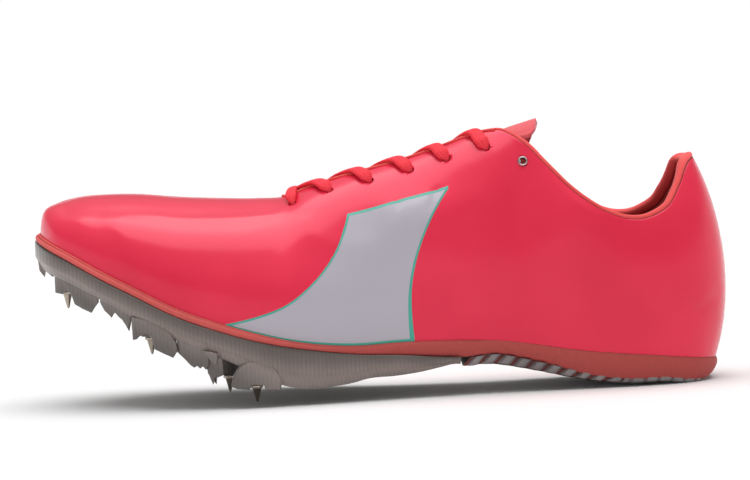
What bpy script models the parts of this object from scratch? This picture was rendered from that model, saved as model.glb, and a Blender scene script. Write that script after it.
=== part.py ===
"""Track spike shoe for the left foot, standing on its heel and on the two spikes under the ball.

Metres, +Z up, toe towards -X, outer (lateral) side towards -Y. The origin is the centre of the heel's
flat spot, on the floor. Every piece is worked out from the named sizes and from the shape of the last,
which is held in short tables of shares of those sizes, one row for each section from heel to toe.
"""

import math
from collections import namedtuple

import bmesh
import bpy
from mathutils import Matrix, Vector

# Driving sizes of the shoe
LENGTH = 0.280
BALL_WIDTH = 0.088
INSTEP_RISE = 0.084
HEEL_RISE = 0.0816
TOE_SPRING = 0.070
HEEL_BACK = 0.0325

# Walls and clearances
GAP = 0.0003
TREAD_SEAM = 0.0006
UPPER_WALL = 0.0014
TONGUE_WALL = 0.0020
TONGUE_SLACK = 0.0005
INSOLE_THICKNESS = 0.0028
INSOLE_INSET = 0.0026
TREAD_THICKNESS = 0.0018
TREAD_ARCH = 0.0014
PLATE_WEB = 0.0026
EDGE_LIFT = 0.0022

# How far the sole's layers stand out from the foot line
RIM = 0.0022
HEEL_RIM = 0.0006
HEEL_TUCK = 0.0012
PLATE_RIM = 0.0004
SKIRT_TUCK = 0.0014

# Fittings
BINDING_WIDTH = 0.0024
BINDING_HEIGHT = 0.0024
BINDING_SEAM = 0.0004
COLLAR_PADDING = 0.0032
LACE_WIDTH = 0.0046
LACE_THICKNESS = 0.0022
LACE_SLACK = 0.0004
LACE_HOLE_RADIUS = 0.0016
LACE_HOLE_INSET = 0.0094
EYELET_INSET = 0.0080
EYELET_BORE = 0.0013
EYELET_WALL = 0.0003
EYELET_FLANGE = 0.0023
EYELET_LIFT = 0.0001
SPIKE_EXPOSED = 0.0070
SPIKE_SHOULDER_RADIUS = 0.0026
SPIKE_SHOULDER_HEIGHT = 0.0012
SPIKE_SHANK_RADIUS = 0.0015
SPIKE_SHANK_LENGTH = 0.0030
SPIKE_TIP_RADIUS = 0.0004
SEAT_DEPTH = 0.0040
BOSS_RADIUS = 0.0046
TOOTH_DEPTH = 0.0120
RIB_RAISE = 0.0010
RIB_SLANT = 0.0030
TONGUE_CORNER = 0.0050

# Places along the shoe, shares of LENGTH from the rearmost point
LACE_ROWS = (0.620, 0.567, 0.508, 0.449, 0.395, 0.337)
EYELET_ALONG = 0.289
BINDING_END = 0.336
TONGUE_END = 0.270
TONGUE_FRONT = 0.690
INSOLE_BACK = 0.026
INSOLE_FRONT = 0.966
RIM_START = 0.250
RIM_FULL = 0.600
TREAD_BACK = 0.046
RIBS_BACK = 0.160
TREAD_FRONT = 0.378
PLATE_BACK = 0.392
EDGE_LIFT_START = (0.030, 0.110)
EDGE_LIFT_FADE = (0.330, 0.390)

# Where shapes turn from one to the next, from and to these shares of LENGTH
LEAN_TURN = (0.20, 0.34)
DISH_START = (0.02, 0.12)
DISH_END = (0.80, 0.96)
RIB_LEAN_START = (0.13, 0.19)

# Depth of the footbed's dish, share of the midsole's thickness
DISH = 0.42

# Places across, shares of the way between two edges
PLATE_HOLLOW = (0.45, 0.95)
TONGUE_TAB = 0.55
LACE_SLOT_SHARE = 0.50
LACE_OVER_EDGE = 0.36
LACE_ONTO_TONGUE = 0.85
LACE_OVER_LIFT = 0.8
LACE_UNDER_LIFT = 0.5

# Sampling of the faceted solids
COLUMN_STEP = 0.0100
WALL_ROWS = 8
END_COLUMNS = 2
ACROSS = 6
PLATE_ACROSS = 8
HOLE_SIDES = 10
TONGUE_STEP = 0.0100
TONGUE_ACROSS = 4
BOSS_SIDES = 9
SPIKE_SIDES = 8
RIB_COUNT = 10
RIB_PROFILE = ((0.0, 0.0), (0.1, 1.0), (0.5, 1.0), (0.6, 0.0))
LACE_STEPS = 3
LACE_SIDES = 6
WELD = 0.00002
HALVINGS = 30
LENGTH_STEPS = 12
PROBE_UP = 0.02
PROBE_RUN = 0.002

# Foot line of the upper, heel to toe. along: share of LENGTH from the rearmost point. lateral and medial:
# distances from the centre line, shares of BALL_WIDTH. height: above the floor, share of TOE_SPRING.
Foot = namedtuple("Foot", "along lateral medial height")
FOOT_LINE = (
    Foot(0.019, 0.000, 0.000, 0.123),
    Foot(0.024, 0.108, 0.108, 0.126),
    Foot(0.045, 0.210, 0.210, 0.136),
    Foot(0.080, 0.284, 0.278, 0.155),
    Foot(0.105, 0.308, 0.300, 0.168),
    Foot(0.130, 0.324, 0.312, 0.179),
    Foot(0.165, 0.335, 0.318, 0.195),
    Foot(0.200, 0.341, 0.315, 0.211),
    Foot(0.240, 0.344, 0.302, 0.236),
    Foot(0.280, 0.347, 0.286, 0.266),
    Foot(0.315, 0.350, 0.270, 0.290),
    Foot(0.345, 0.353, 0.258, 0.304),
    Foot(0.375, 0.358, 0.250, 0.310),
    Foot(0.420, 0.368, 0.248, 0.314),
    Foot(0.480, 0.392, 0.266, 0.314),
    Foot(0.540, 0.426, 0.306, 0.310),
    Foot(0.600, 0.460, 0.354, 0.336),
    Foot(0.635, 0.476, 0.385, 0.364),
    Foot(0.670, 0.484, 0.414, 0.402),
    Foot(0.730, 0.482, 0.450, 0.481),
    Foot(0.790, 0.450, 0.464, 0.575),
    Foot(0.845, 0.394, 0.452, 0.690),
    Foot(0.892, 0.322, 0.418, 0.786),
    Foot(0.933, 0.236, 0.368, 0.876),
    Foot(0.965, 0.146, 0.310, 0.944),
    Foot(0.985, 0.020, 0.232, 0.985),
    Foot(0.991, -0.105, 0.105, 1.000),
)

# Top of each column of the wall. along: share of LENGTH. centre and half: of the collar or throat opening,
# shares of BALL_WIDTH. heel and instep: height of the collar above the foot line, shares of HEEL_RISE and
# INSTEP_RISE, which add up. ridge: height of the closed instep and vamp above the foot line, share of
# INSTEP_RISE, up to which the wall would reach if the throat weren't cut.
Top = namedtuple("Top", "along centre half heel instep ridge")
TOP_LINE = (
    Top(0.040, 0.000, 0.000, 0.992, 0.000, 0.000),
    Top(0.043, 0.000, 0.070, 0.982, 0.000, 0.000),
    Top(0.053, 0.000, 0.133, 0.942, 0.000, 0.000),
    Top(0.070, 0.000, 0.200, 0.808, 0.000, 0.000),
    Top(0.085, 0.000, 0.242, 0.722, 0.000, 0.000),
    Top(0.110, 0.000, 0.281, 0.520, 0.143, 0.000),
    Top(0.145, 0.000, 0.306, 0.330, 0.308, 0.000),
    Top(0.182, 0.001, 0.314, 0.150, 0.518, 0.000),
    Top(0.222, 0.003, 0.298, 0.000, 0.739, 1.202),
    Top(0.258, 0.006, 0.262, 0.000, 0.840, 1.142),
    Top(0.288, 0.010, 0.217, 0.000, 0.929, 1.092),
    Top(0.316, 0.013, 0.165, 0.000, 0.972, 1.054),
    Top(0.350, 0.015, 0.130, 0.000, 0.000, 1.011),
    Top(0.405, 0.017, 0.109, 0.000, 0.000, 0.935),
    Top(0.472, 0.020, 0.098, 0.000, 0.000, 0.864),
    Top(0.536, 0.023, 0.089, 0.000, 0.000, 0.814),
    Top(0.600, 0.027, 0.080, 0.000, 0.000, 0.730),
    Top(0.635, 0.030, 0.078, 0.000, 0.000, 0.661),
    Top(0.670, 0.034, 0.000, 0.000, 0.000, 0.627),
    Top(0.730, 0.044, 0.000, 0.000, 0.000, 0.571),
    Top(0.790, 0.057, 0.000, 0.000, 0.000, 0.508),
    Top(0.845, 0.071, 0.000, 0.000, 0.000, 0.433),
    Top(0.892, 0.082, 0.000, 0.000, 0.000, 0.358),
    Top(0.933, 0.092, 0.000, 0.000, 0.000, 0.276),
    Top(0.965, 0.099, 0.000, 0.000, 0.000, 0.194),
    Top(0.985, 0.103, 0.000, 0.000, 0.000, 0.121),
    Top(0.991, 0.105, 0.000, 0.000, 0.000, 0.000),
)
THROAT_TOP_ROW = 11
THROAT_FRONT_ROW = 17
THROAT_END = 0.0060

# Fullness of the wall. swell: how far it stands out above the foot line, lean: below the collar, shares of
# BALL_WIDTH. rise and fall: how long it does so, shares of the wall's height. crown: how far the closed
# instep and vamp stay level from the ridge towards the side, share of the way to the foot line.
Wall = namedtuple("Wall", "swell rise lean fall crown")
WALL_SHAPE = (
    Wall(0.108, 0.31, 0.130, 0.28, 0.00),
    Wall(0.097, 0.31, 0.125, 0.28, 0.00),
    Wall(0.080, 0.31, 0.118, 0.29, 0.00),
    Wall(0.068, 0.32, 0.102, 0.31, 0.00),
    Wall(0.060, 0.33, 0.090, 0.33, 0.00),
    Wall(0.054, 0.33, 0.080, 0.34, 0.00),
    Wall(0.048, 0.33, 0.068, 0.34, 0.00),
    Wall(0.043, 0.33, 0.062, 0.34, 0.00),
    Wall(0.041, 0.33, 0.074, 0.33, 0.84),
    Wall(0.040, 0.35, 0.086, 0.31, 0.84),
    Wall(0.040, 0.38, 0.090, 0.26, 0.84),
    Wall(0.040, 0.42, 0.000, 0.00, 0.84),
    Wall(0.040, 0.44, 0.000, 0.00, 0.80),
    Wall(0.040, 0.46, 0.000, 0.00, 0.74),
    Wall(0.040, 0.47, 0.000, 0.00, 0.68),
    Wall(0.037, 0.48, 0.000, 0.00, 0.64),
    Wall(0.034, 0.48, 0.000, 0.00, 0.62),
    Wall(0.034, 0.48, 0.000, 0.00, 0.61),
    Wall(0.032, 0.49, 0.000, 0.00, 0.60),
    Wall(0.028, 0.50, 0.000, 0.00, 0.59),
    Wall(0.025, 0.51, 0.000, 0.00, 0.58),
    Wall(0.022, 0.52, 0.000, 0.00, 0.58),
    Wall(0.018, 0.54, 0.000, 0.00, 0.58),
    Wall(0.014, 0.55, 0.000, 0.00, 0.58),
    Wall(0.009, 0.56, 0.000, 0.00, 0.58),
    Wall(0.004, 0.56, 0.000, 0.00, 0.58),
    Wall(0.000, 0.56, 0.000, 0.00, 0.58),
)

# Thickness of the midsole under the foot line, share of HEEL_STACK, against share of LENGTH.
HEEL_STACK = 0.0084
Depth = namedtuple("Depth", "along share")
MIDSOLE_DEPTH = (
    Depth(0.010, 0.30),
    Depth(0.020, 0.46),
    Depth(0.026, 0.66),
    Depth(0.036, 0.86),
    Depth(0.050, 1.01),
    Depth(0.070, 1.07),
    Depth(0.110, 1.20),
    Depth(0.150, 1.34),
    Depth(0.178, 1.32),
    Depth(0.221, 1.23),
    Depth(0.259, 1.10),
    Depth(0.302, 0.97),
    Depth(0.345, 0.84),
    Depth(0.398, 0.76),
    Depth(0.448, 0.63),
    Depth(0.520, 0.40),
    Depth(0.555, 0.30),
    Depth(0.608, 0.25),
    Depth(0.700, 0.34),
    Depth(0.850, 0.33),
    Depth(0.960, 0.30),
    Depth(1.000, 0.26),
)

# Depth of the plate's skirt under the midsole, share of PLATE_DEPTH.
PLATE_DEPTH = 0.0155
SKIRT_DEPTH = (
    Depth(0.380, 0.10),
    Depth(0.398, 0.15),
    Depth(0.422, 0.27),
    Depth(0.449, 0.40),
    Depth(0.485, 0.52),
    Depth(0.521, 0.58),
    Depth(0.545, 0.72),
    Depth(0.575, 0.86),
    Depth(0.605, 0.97),
    Depth(0.640, 0.97),
    Depth(0.670, 0.86),
    Depth(0.700, 0.72),
    Depth(0.731, 0.64),
    Depth(0.785, 0.60),
    Depth(0.847, 0.58),
    Depth(0.896, 0.53),
    Depth(0.962, 0.60),
    Depth(1.000, 0.70),
)
# Tongue. half: half width, share of BALL_WIDTH. dip: how far the laces press it down, share of TONGUE_DIP.
TONGUE_DIP = 0.0034
Pad = namedtuple("Pad", "along half dip")
TONGUE_LINE = (
    Pad(0.262, 0.190, 1.06),
    Pad(0.300, 0.175, 1.00),
    Pad(0.350, 0.200, 1.06),
    Pad(0.395, 0.210, 0.94),
    Pad(0.450, 0.215, 0.72),
    Pad(0.560, 0.215, 0.50),
    Pad(0.640, 0.190, 0.34),
    Pad(0.690, 0.150, 0.20),
)

# Teeth under the plate. across: share of the plate's half width, negative on the lateral side. length:
# share of LENGTH, width: of BALL_WIDTH, drops: depth of the front and back of its foot below the skirt's
# edge, shares of TOOTH_DEPTH.
Tooth = namedtuple("Tooth", "along across length width front_drop back_drop")
TEETH = (
    Tooth(0.987, -0.90, 0.017, 0.050, 0.14, 0.34),
    Tooth(0.987, 0.90, 0.017, 0.050, 0.14, 0.34),
    Tooth(0.930, -0.88, 0.072, 0.055, 0.62, 0.53),
    Tooth(0.866, -0.88, 0.030, 0.050, 0.46, 0.40),
    Tooth(0.819, -0.90, 0.062, 0.055, 0.64, 0.53),
    Tooth(0.764, -0.88, 0.039, 0.055, 0.67, 0.53),
    Tooth(0.739, -0.95, 0.018, 0.024, 0.00, 0.52),
    Tooth(0.747, -0.30, 0.015, 0.050, 0.90, 1.25),
    Tooth(0.676, -0.84, 0.060, 0.080, 0.63, 0.04),
    Tooth(0.950, 0.80, 0.026, 0.055, 0.60, 0.41),
    Tooth(0.908, 0.86, 0.036, 0.055, 0.58, 0.50),
    Tooth(0.862, 0.88, 0.030, 0.050, 0.46, 0.40),
    Tooth(0.812, 0.88, 0.040, 0.055, 0.64, 0.50),
    Tooth(0.762, 0.88, 0.036, 0.055, 0.62, 0.50),
    Tooth(0.690, 0.86, 0.050, 0.070, 0.60, 0.10),
)

# Spikes. across: share of the plate's half width. tip: height above the floor, share of TOE_SPRING.
Spike = namedtuple("Spike", "along across tip")
SPIKES = (
    Spike(0.9500, -0.62, 0.574),
    Spike(0.9050, 0.62, 0.575),
    Spike(0.8430, -0.05, 0.430),
    Spike(0.8280, -0.68, 0.306),
    Spike(0.7910, 0.68, 0.300),
    Spike(0.7300, 0.68, 0.000),
    Spike(0.6825, -0.44, 0.000),
)

COLOURS = {
    "upper": ((0.80, 0.06, 0.11), 0.22, 0.0),
    "binding": ((0.80, 0.11, 0.08), 0.75, 0.0),
    "tongue": ((0.86, 0.16, 0.19), 0.6, 0.0),
    "insole": ((0.20, 0.20, 0.22), 0.9, 0.0),
    "foam": ((0.60, 0.10, 0.08), 0.6, 0.0),
    "plate": ((0.19, 0.18, 0.175), 0.35, 0.0),
    "tread": ((0.14, 0.13, 0.13), 0.7, 0.0),
    "steel": ((0.62, 0.58, 0.50), 0.3, 1.0),
    "lace": ((0.83, 0.09, 0.09), 0.85, 0.0),
}


# Scene and small helpers


def clear_scene():
    for old in list(bpy.data.objects):
        bpy.data.objects.remove(old)


def make_collection(name):
    made = bpy.data.collections.new(name)
    bpy.context.scene.collection.children.link(made)
    return made


def make_material(name):
    colour, roughness, metallic = COLOURS[name]
    made = bpy.data.materials.new(name)
    made.use_nodes = True
    shader = made.node_tree.nodes["Principled BSDF"]
    shader.inputs["Base Color"].default_value = (*colour, 1.0)
    shader.inputs["Roughness"].default_value = roughness
    shader.inputs["Metallic"].default_value = metallic
    return made


def add_mesh(name, work, collection, material=None):
    """Welds a bmesh, points its faces outwards and makes it an object."""
    bmesh.ops.remove_doubles(work, verts=work.verts, dist=WELD)
    bmesh.ops.dissolve_degenerate(work, edges=work.edges, dist=WELD / 2)
    bmesh.ops.recalc_face_normals(work, faces=work.faces)
    mesh = bpy.data.meshes.new(name)
    work.to_mesh(mesh)
    work.free()
    mesh.shade_smooth()
    mesh.set_sharp_from_angle(angle=math.radians(40))
    made = bpy.data.objects.new(name, mesh)
    collection.objects.link(made)
    if material:
        mesh.materials.append(material)
    return made


def add_cutter(name, work, collection):
    made = add_mesh(name, work, collection)
    made.hide_render = True
    made.display_type = "WIRE"
    return made


def boolean(target, tool, operation):
    modifier = target.modifiers.new(operation.lower(), "BOOLEAN")
    modifier.operation = operation
    modifier.solver = "EXACT"
    modifier.object = tool
    return modifier


def smoothstep(low, high, value):
    share = min(1.0, max(0.0, (value - low) / (high - low)))
    return share * share * (3 - 2 * share)


def hermite(p, q, slope_p, slope_q, width, share):
    """Cubic from p to q with those slopes at its ends."""
    a, b = share * share, share * share * share
    return (
        p * (2 * b - 3 * a + 1)
        + q * (3 * a - 2 * b)
        + slope_p * (width * (b - 2 * a + share))
        + slope_q * (width * (b - a))
    )


def read_table(table, key, place, value):
    """Value of a table at this place, by a smooth curve through its rows."""
    keys = [getattr(row, key) for row in table]
    values = [getattr(row, value) for row in table]
    place = min(max(place, keys[0]), keys[-1])
    last = len(keys) - 2
    i = next((k for k in range(last) if place <= keys[k + 1]), last)

    def slope(k):
        before, after = max(k - 1, 0), min(k + 1, len(keys) - 1)
        return (values[after] - values[before]) / (keys[after] - keys[before])

    width = keys[i + 1] - keys[i]
    return hermite(values[i], values[i + 1], slope(i), slope(i + 1), width, (place - keys[i]) / width)


def bezier(points, share):
    a, b, c, d = points
    rest = 1 - share
    return (
        a * rest**3
        + b * (3 * rest * rest * share)
        + c * (3 * rest * share * share)
        + d * share**3
    )


def bezier_start(points, share):
    """Control points of the first part of a cubic, up to that share."""
    a, b, c, d = points
    ab, bc, cd = a.lerp(b, share), b.lerp(c, share), c.lerp(d, share)
    abc, bcd = ab.lerp(bc, share), bc.lerp(cd, share)
    return [a, ab, abc, abc.lerp(bcd, share)]


def halve(low, high, is_low):
    """Place between low and high where is_low turns false."""
    for _ in range(HALVINGS):
        middle = (low + high) / 2
        if is_low(middle):
            low = middle
        else:
            high = middle
    return (low + high) / 2


# The last: control curves round the shoe, and the wall between them


def place(along):
    return HEEL_BACK - along * LENGTH


class Last:
    """Sections run from the heel to the toe; side is -1 for the lateral and 1 for the medial half.

    A place on the wall is a side, a run (metres along the foot line from the heel) and up, from 0 at the
    foot line to 1 at the top edge. Each column of the wall is a cubic between four control points.
    """

    def __init__(self):
        self.count = len(FOOT_LINE)
        feet = {side: self.foot_points(side) for side in (-1, 1)}
        self.steps = [
            sum((feet[side][i + 1] - feet[side][i]).length for side in (-1, 1)) / 2
            for i in range(self.count - 1)
        ]
        self.rows = [0.0]
        for step in self.steps:
            self.rows.append(self.rows[-1] + step)
        self.front = self.rows[THROAT_FRONT_ROW]
        self.total = self.rows[-1]
        self.foot = feet[-1] + feet[1][-2:0:-1]
        self.widths = self.steps + self.steps[::-1]
        self.cut = [[], [], [], []]
        self.whole = [[], [], [], []]
        for i in range(len(self.foot)):
            side = -1 if i < self.count else 1
            row = i if side < 0 else len(self.foot) - i
            self.add_column(i, row, side)
        self.columns = {}

    def foot_points(self, side):
        return [
            Vector((
                place(row.along),
                side * (row.lateral if side < 0 else row.medial) * BALL_WIDTH,
                row.height * TOE_SPRING,
            ))
            for row in FOOT_LINE
        ]

    def add_column(self, i, row, side):
        wall, spot, foot = WALL_SHAPE[row], TOP_LINE[row], self.foot[i]
        step = self.foot[(i + 1) % len(self.foot)] - self.foot[i - 1]
        out = Vector((-step.y, step.x, 0)).normalized()
        rise = spot.heel * HEEL_RISE + spot.instep * INSTEP_RISE
        ridge_rise = spot.ridge * INSTEP_RISE
        edge = Vector((place(spot.along), (spot.centre + side * spot.half) * BALL_WIDTH, foot.z + rise))
        ridge = Vector((place(spot.along), spot.centre * BALL_WIDTH, foot.z + ridge_rise))

        def lower(height):
            return foot + out * (wall.swell * BALL_WIDTH) + Vector((0, 0, wall.rise * height))

        turn = smoothstep(*LEAN_TURN, spot.along)
        level = (out * (1 - turn) + Vector((0, side * turn, 0))).normalized()
        crown = Vector((0, side * wall.crown * abs(foot.y - ridge.y), 0))
        whole = [foot, lower(ridge_rise), ridge + crown, ridge]
        if row < THROAT_TOP_ROW:
            handle = edge + level * (wall.lean * BALL_WIDTH) - Vector((0, 0, wall.fall * rise))
            cut = [foot, lower(rise), handle, edge]
            if not spot.ridge:
                whole = cut
        elif row <= THROAT_FRONT_ROW:
            cut = bezier_start(whole, self.share_at(whole, side, spot.half * BALL_WIDTH))
        else:
            cut = whole
        for curve, point in zip(self.whole, whole):
            curve.append(point)
        for curve, point in zip(self.cut, cut):
            curve.append(point)

    def share_at(self, points, side, half):
        """Share of a whole column at which it comes within half of its ridge."""
        return halve(0.0, 1.0, lambda share: side * (bezier(points, share).y - points[3].y) > half)

    def control(self, curve, side, run):
        """Point of a closed control curve."""
        run = min(max(run, 0.0), self.total)
        last = self.count - 2
        i = next((k for k in range(last) if run <= self.rows[k + 1]), last)
        share = (run - self.rows[i]) / self.steps[i]
        if side > 0:
            i, share = 2 * last + 1 - i, 1 - share
        around = len(curve)

        def slope(k):
            before, after = self.widths[(k - 1) % around], self.widths[k % around]
            back = (curve[k % around] - curve[(k - 1) % around]) / before
            ahead = (curve[(k + 1) % around] - curve[k % around]) / after
            return (back * after + ahead * before) / (before + after)

        p, q = curve[i % around], curve[(i + 1) % around]
        return hermite(p, q, slope(i), slope(i + 1), self.widths[i], share)

    def opening(self, run):
        """Half width of the throat, round at its front end."""
        along = self.top_along(run)
        half = read_table(TOP_LINE, "along", along, "half") * BALL_WIDTH
        left = min(1.0, (self.front - run) / THROAT_END)
        return half * math.sqrt(max(0.0, 1 - (1 - left) ** 2))

    def top_along(self, run):
        """Share of the length at which this column's top lies."""
        i = next((k for k in range(self.count - 2) if run <= self.rows[k + 1]), self.count - 2)
        share = (run - self.rows[i]) / self.steps[i]
        return TOP_LINE[i].along * (1 - share) + TOP_LINE[i + 1].along * share

    def closed_column(self, side, run):
        """Control points up to the ridge, as if the throat weren't cut."""
        key = (side, round(run, 7), "closed")
        if key not in self.columns:
            self.columns[key] = [self.control(curve, side, run) for curve in self.whole]
        return self.columns[key]

    def column(self, side, run):
        """Control points from the foot line to the top edge."""
        key = (side, round(run, 7))
        if key not in self.columns:
            if run < self.rows[THROAT_TOP_ROW]:
                points = [self.control(curve, side, run) for curve in self.cut]
            else:
                points = self.closed_column(side, run)
                if run < self.front - WELD:
                    points = bezier_start(points, self.share_at(points, side, self.opening(run)))
            self.columns[key] = points
        return self.columns[key]

    def point(self, side, run, up, closed=False):
        column = self.closed_column if closed else self.column
        return bezier(column(side, run), up)

    def outward(self, side, run, up, closed=False):
        """Unit normal of the wall, away from the foot."""
        low_up, high_up = max(up - PROBE_UP, 0.0), min(up + PROBE_UP, 1.0)
        low_run, high_run = max(run - PROBE_RUN, 0.0), min(run + PROBE_RUN, self.total - PROBE_RUN)
        if closed and up > 1 - PROBE_UP:
            rise = self.point(-side, run, high_up - PROBE_UP, True) - self.point(side, run, low_up, True)
        else:
            rise = self.point(side, run, high_up, closed) - self.point(side, run, low_up, closed)
        ahead = self.point(side, high_run, up, closed) - self.point(side, low_run, up, closed)
        normal = ahead.cross(rise) if side > 0 else rise.cross(ahead)
        return normal.normalized()

    def beside(self, side, run, up, distance, closed=False):
        """Point at that distance outside the wall, or inside it where the distance is negative."""
        return self.point(side, run, up, closed) + self.outward(side, run, up, closed) * distance

    def below_edge(self, side, run, distance):
        """Up value at that distance down the wall from the top edge."""
        points = self.column(side, run)

        def is_low(up):
            stops = [bezier(points, up + (1 - up) * k / LENGTH_STEPS) for k in range(LENGTH_STEPS + 1)]
            return sum((b - a).length for a, b in zip(stops, stops[1:])) > distance

        return halve(0.0, 1.0, is_low)

    def run_of_edge(self, side, along):
        """Run of the column whose top edge lies at this share of the length."""
        return halve(0.0, self.total, lambda run: self.column(side, run)[3].x > place(along))

    def run_at(self, along):
        """Run at which the foot line passes this share of the length."""
        return halve(0.0, self.total, lambda run: self.control(self.foot, -1, run).x > place(along))

    def along(self, run):
        return (HEEL_BACK - self.control(self.foot, -1, run).x) / LENGTH

    def edge(self, side, run, outset):
        """Foot line, moved outwards in plan."""
        here = self.control(self.foot, side, run)
        ahead, behind = run + PROBE_RUN / 4, run - PROBE_RUN / 4
        turned = 2 * self.total - ahead
        after = self.control(self.foot, *((side, ahead) if ahead <= self.total else (-side, turned)))
        before = self.control(self.foot, *((side, behind) if behind >= 0 else (-side, -behind)))
        step = after - before
        return here + Vector((step.y, -step.x, 0)).normalized() * (side * outset)

    def runs(self, step, start=0.0, end=None):
        """Places along the foot line that meet every section row."""
        end = self.total if end is None else end
        found = [start]
        for low, high in zip(self.rows, self.rows[1:]):
            low, high = max(low, start), min(high, end)
            if high - low > WELD:
                pieces = max(1, round((high - low) / step))
                found += [low + (high - low) * (k + 1) / pieces for k in range(pieces)]
        return found


# Lofts


def loft(rings, closed_run=False):
    """Closed bmesh through rings that each have the same number of points."""
    work = bmesh.new()
    loops = [[work.verts.new(point) for point in ring] for ring in rings]
    count = len(rings[0])
    pairs = list(zip(loops, loops[1:]))
    if closed_run:
        pairs.append((loops[-1], loops[0]))
    for first, second in pairs:
        for k in range(count):
            work.faces.new((first[k], first[(k + 1) % count], second[(k + 1) % count], second[k]))
    if not closed_run:
        work.faces.new(loops[0][::-1])
        work.faces.new(loops[-1])
    return work


def tube(path, half_widths, half_height, sides, ups):
    """Closed bmesh of an oval cord along a path; ups holds its flat side's direction at each point."""
    rings = []
    for i, point in enumerate(path):
        run = (path[min(i + 1, len(path) - 1)] - path[max(i - 1, 0)]).normalized()
        across = run.cross(ups[i]).normalized()
        up = across.cross(run).normalized()
        turn = 2 * math.pi / sides
        rings.append([
            point
            + across * (half_widths[i] * math.cos(turn * (k + 0.5)))
            + up * (half_height * math.sin(turn * (k + 0.5)))
            for k in range(sides)
        ])
    return loft(rings)


def smooth_path(points, steps):
    """Points of a smooth curve through the given ones."""
    found = []
    last = len(points) - 2
    for i in range(last + 1):
        def slope(k):
            return (points[min(k + 1, last + 1)] - points[max(k - 1, 0)]) / 2

        for k in range(steps):
            found.append(hermite(points[i], points[i + 1], slope(i), slope(i + 1), 1.0, k / steps))
    return found + [points[-1]]


Side = namedtuple("Side", "outset down")


def sole_ring(last, run, sides, top, bottom, across, slant=0.0):
    """Ring of a sole layer. sides: its edge from top to bottom, down being the share of the way.

    slant moves the lower points along the run, which leans what stands out from the edge.
    """
    along = last.along(run)

    def level(side_row, height, behind):
        lateral = last.edge(-1, run + behind, side_row.outset)
        medial = last.edge(1, run + behind, side_row.outset)
        spots = [lateral.lerp(medial, k / across) for k in range(across + 1)]
        return [
            Vector((spot.x, spot.y, height(last.along(run + behind), 2 * k / across - 1)))
            for k, spot in enumerate(spots)
        ]

    def flank(side):
        found = []
        for row in sides[1:-1]:
            spot = last.edge(side, run + slant * row.down, row.outset)
            high, low = top(along, side), bottom(along, side)
            found.append(Vector((spot.x, spot.y, high + (low - high) * row.down)))
        return found

    return (
        level(sides[0], top, 0.0)
        + flank(1)
        + level(sides[-1], bottom, slant)[::-1]
        + flank(-1)[::-1]
    )


# Heights of the sole's layers, from the foot line down


class Sole:
    def __init__(self, last):
        self.last = last
        self.heights = {}

    def foot_height(self, along):
        key = round(along, 6)
        if key not in self.heights:
            self.heights[key] = self.last.control(self.last.foot, -1, self.last.run_at(along)).z
        return self.heights[key]

    def footbed(self, along, share):
        """Top of the midsole: level at the rim, dished in the middle."""
        ends = smoothstep(*DISH_START, along) * (1 - smoothstep(*DISH_END, along))
        dip = DISH * ends * (self.foot_height(along) - self.midsole_bottom(along))
        return self.foot_height(along) - GAP - dip * (1 - share**4)

    def insole_bottom(self, along, share):
        return self.footbed(along, share) + GAP

    def insole_top(self, along, share):
        return self.insole_bottom(along, share) + INSOLE_THICKNESS

    def midsole_bottom(self, along, share=0.0):
        """Underside of the midsole, which turns up at the edge under arch and heel."""
        depth = HEEL_STACK * read_table(MIDSOLE_DEPTH, "along", along, "share")
        lifted = smoothstep(*EDGE_LIFT_START, along) * (1 - smoothstep(*EDGE_LIFT_FADE, along))
        turn_up = EDGE_LIFT * lifted * share**4
        return self.foot_height(along) - depth + turn_up

    def under_midsole(self, along, share=0.0):
        return self.midsole_bottom(along, share) - GAP

    def tread_top(self, along, share=0.0):
        return self.midsole_bottom(along, share) - TREAD_SEAM

    def tread_bottom(self, along, share=0.0):
        """Underside of the tread, flat on the floor under the heel."""
        thickness = TREAD_THICKNESS + TREAD_ARCH * smoothstep(RIBS_BACK, TREAD_FRONT, along)
        return max(0.0, self.tread_top(along, share) - thickness)

    def skirt(self, along):
        """Lower edge of the plate's side."""
        return self.under_midsole(along) - PLATE_DEPTH * read_table(SKIRT_DEPTH, "along", along, "share")

    def plate_bottom(self, along, share):
        """Underside of the plate: down to the skirt's edge at the sides, a raised web in the middle."""
        web = self.under_midsole(along) - PLATE_WEB
        return web + (min(self.skirt(along), web) - web) * smoothstep(*PLATE_HOLLOW, abs(share))

    def spot(self, along, across):
        """Plan position at a share of the half width, on the lateral side if that is negative."""
        side = -1 if across < 0 else 1
        run = self.last.run_at(along)
        sides = [self.last.control(self.last.foot, s, run) for s in (-1, 1)]
        centre = (sides[0].y + sides[1].y) / 2
        end = sides[0] if side < 0 else sides[1]
        return Vector((end.x, centre + (end.y - centre) * abs(across), 0))


# Upper, its edge tape, tongue and insole


def wall_runs(last, step):
    """Columns of the wall, closer together at the round front end of the throat."""
    found = [run for run in last.runs(step) if not 0 < last.front - run < THROAT_END]
    for k in range(1, END_COLUMNS + 1):
        found.append(last.front - THROAT_END * (1 - math.cos(math.pi / 2 * k / END_COLUMNS)))
    return sorted(found)


def lace_hole(last, side, along, inset):
    """Place and outward direction of a hole in the eyestay."""
    run = last.run_of_edge(side, along)
    up = last.below_edge(side, run, inset)
    return last.point(side, run, up), last.outward(side, run, up)


def turned_to(direction):
    """Rotation that takes +Z to that direction."""
    return Vector((0, 0, 1)).rotation_difference(direction).to_matrix().to_4x4()


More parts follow.
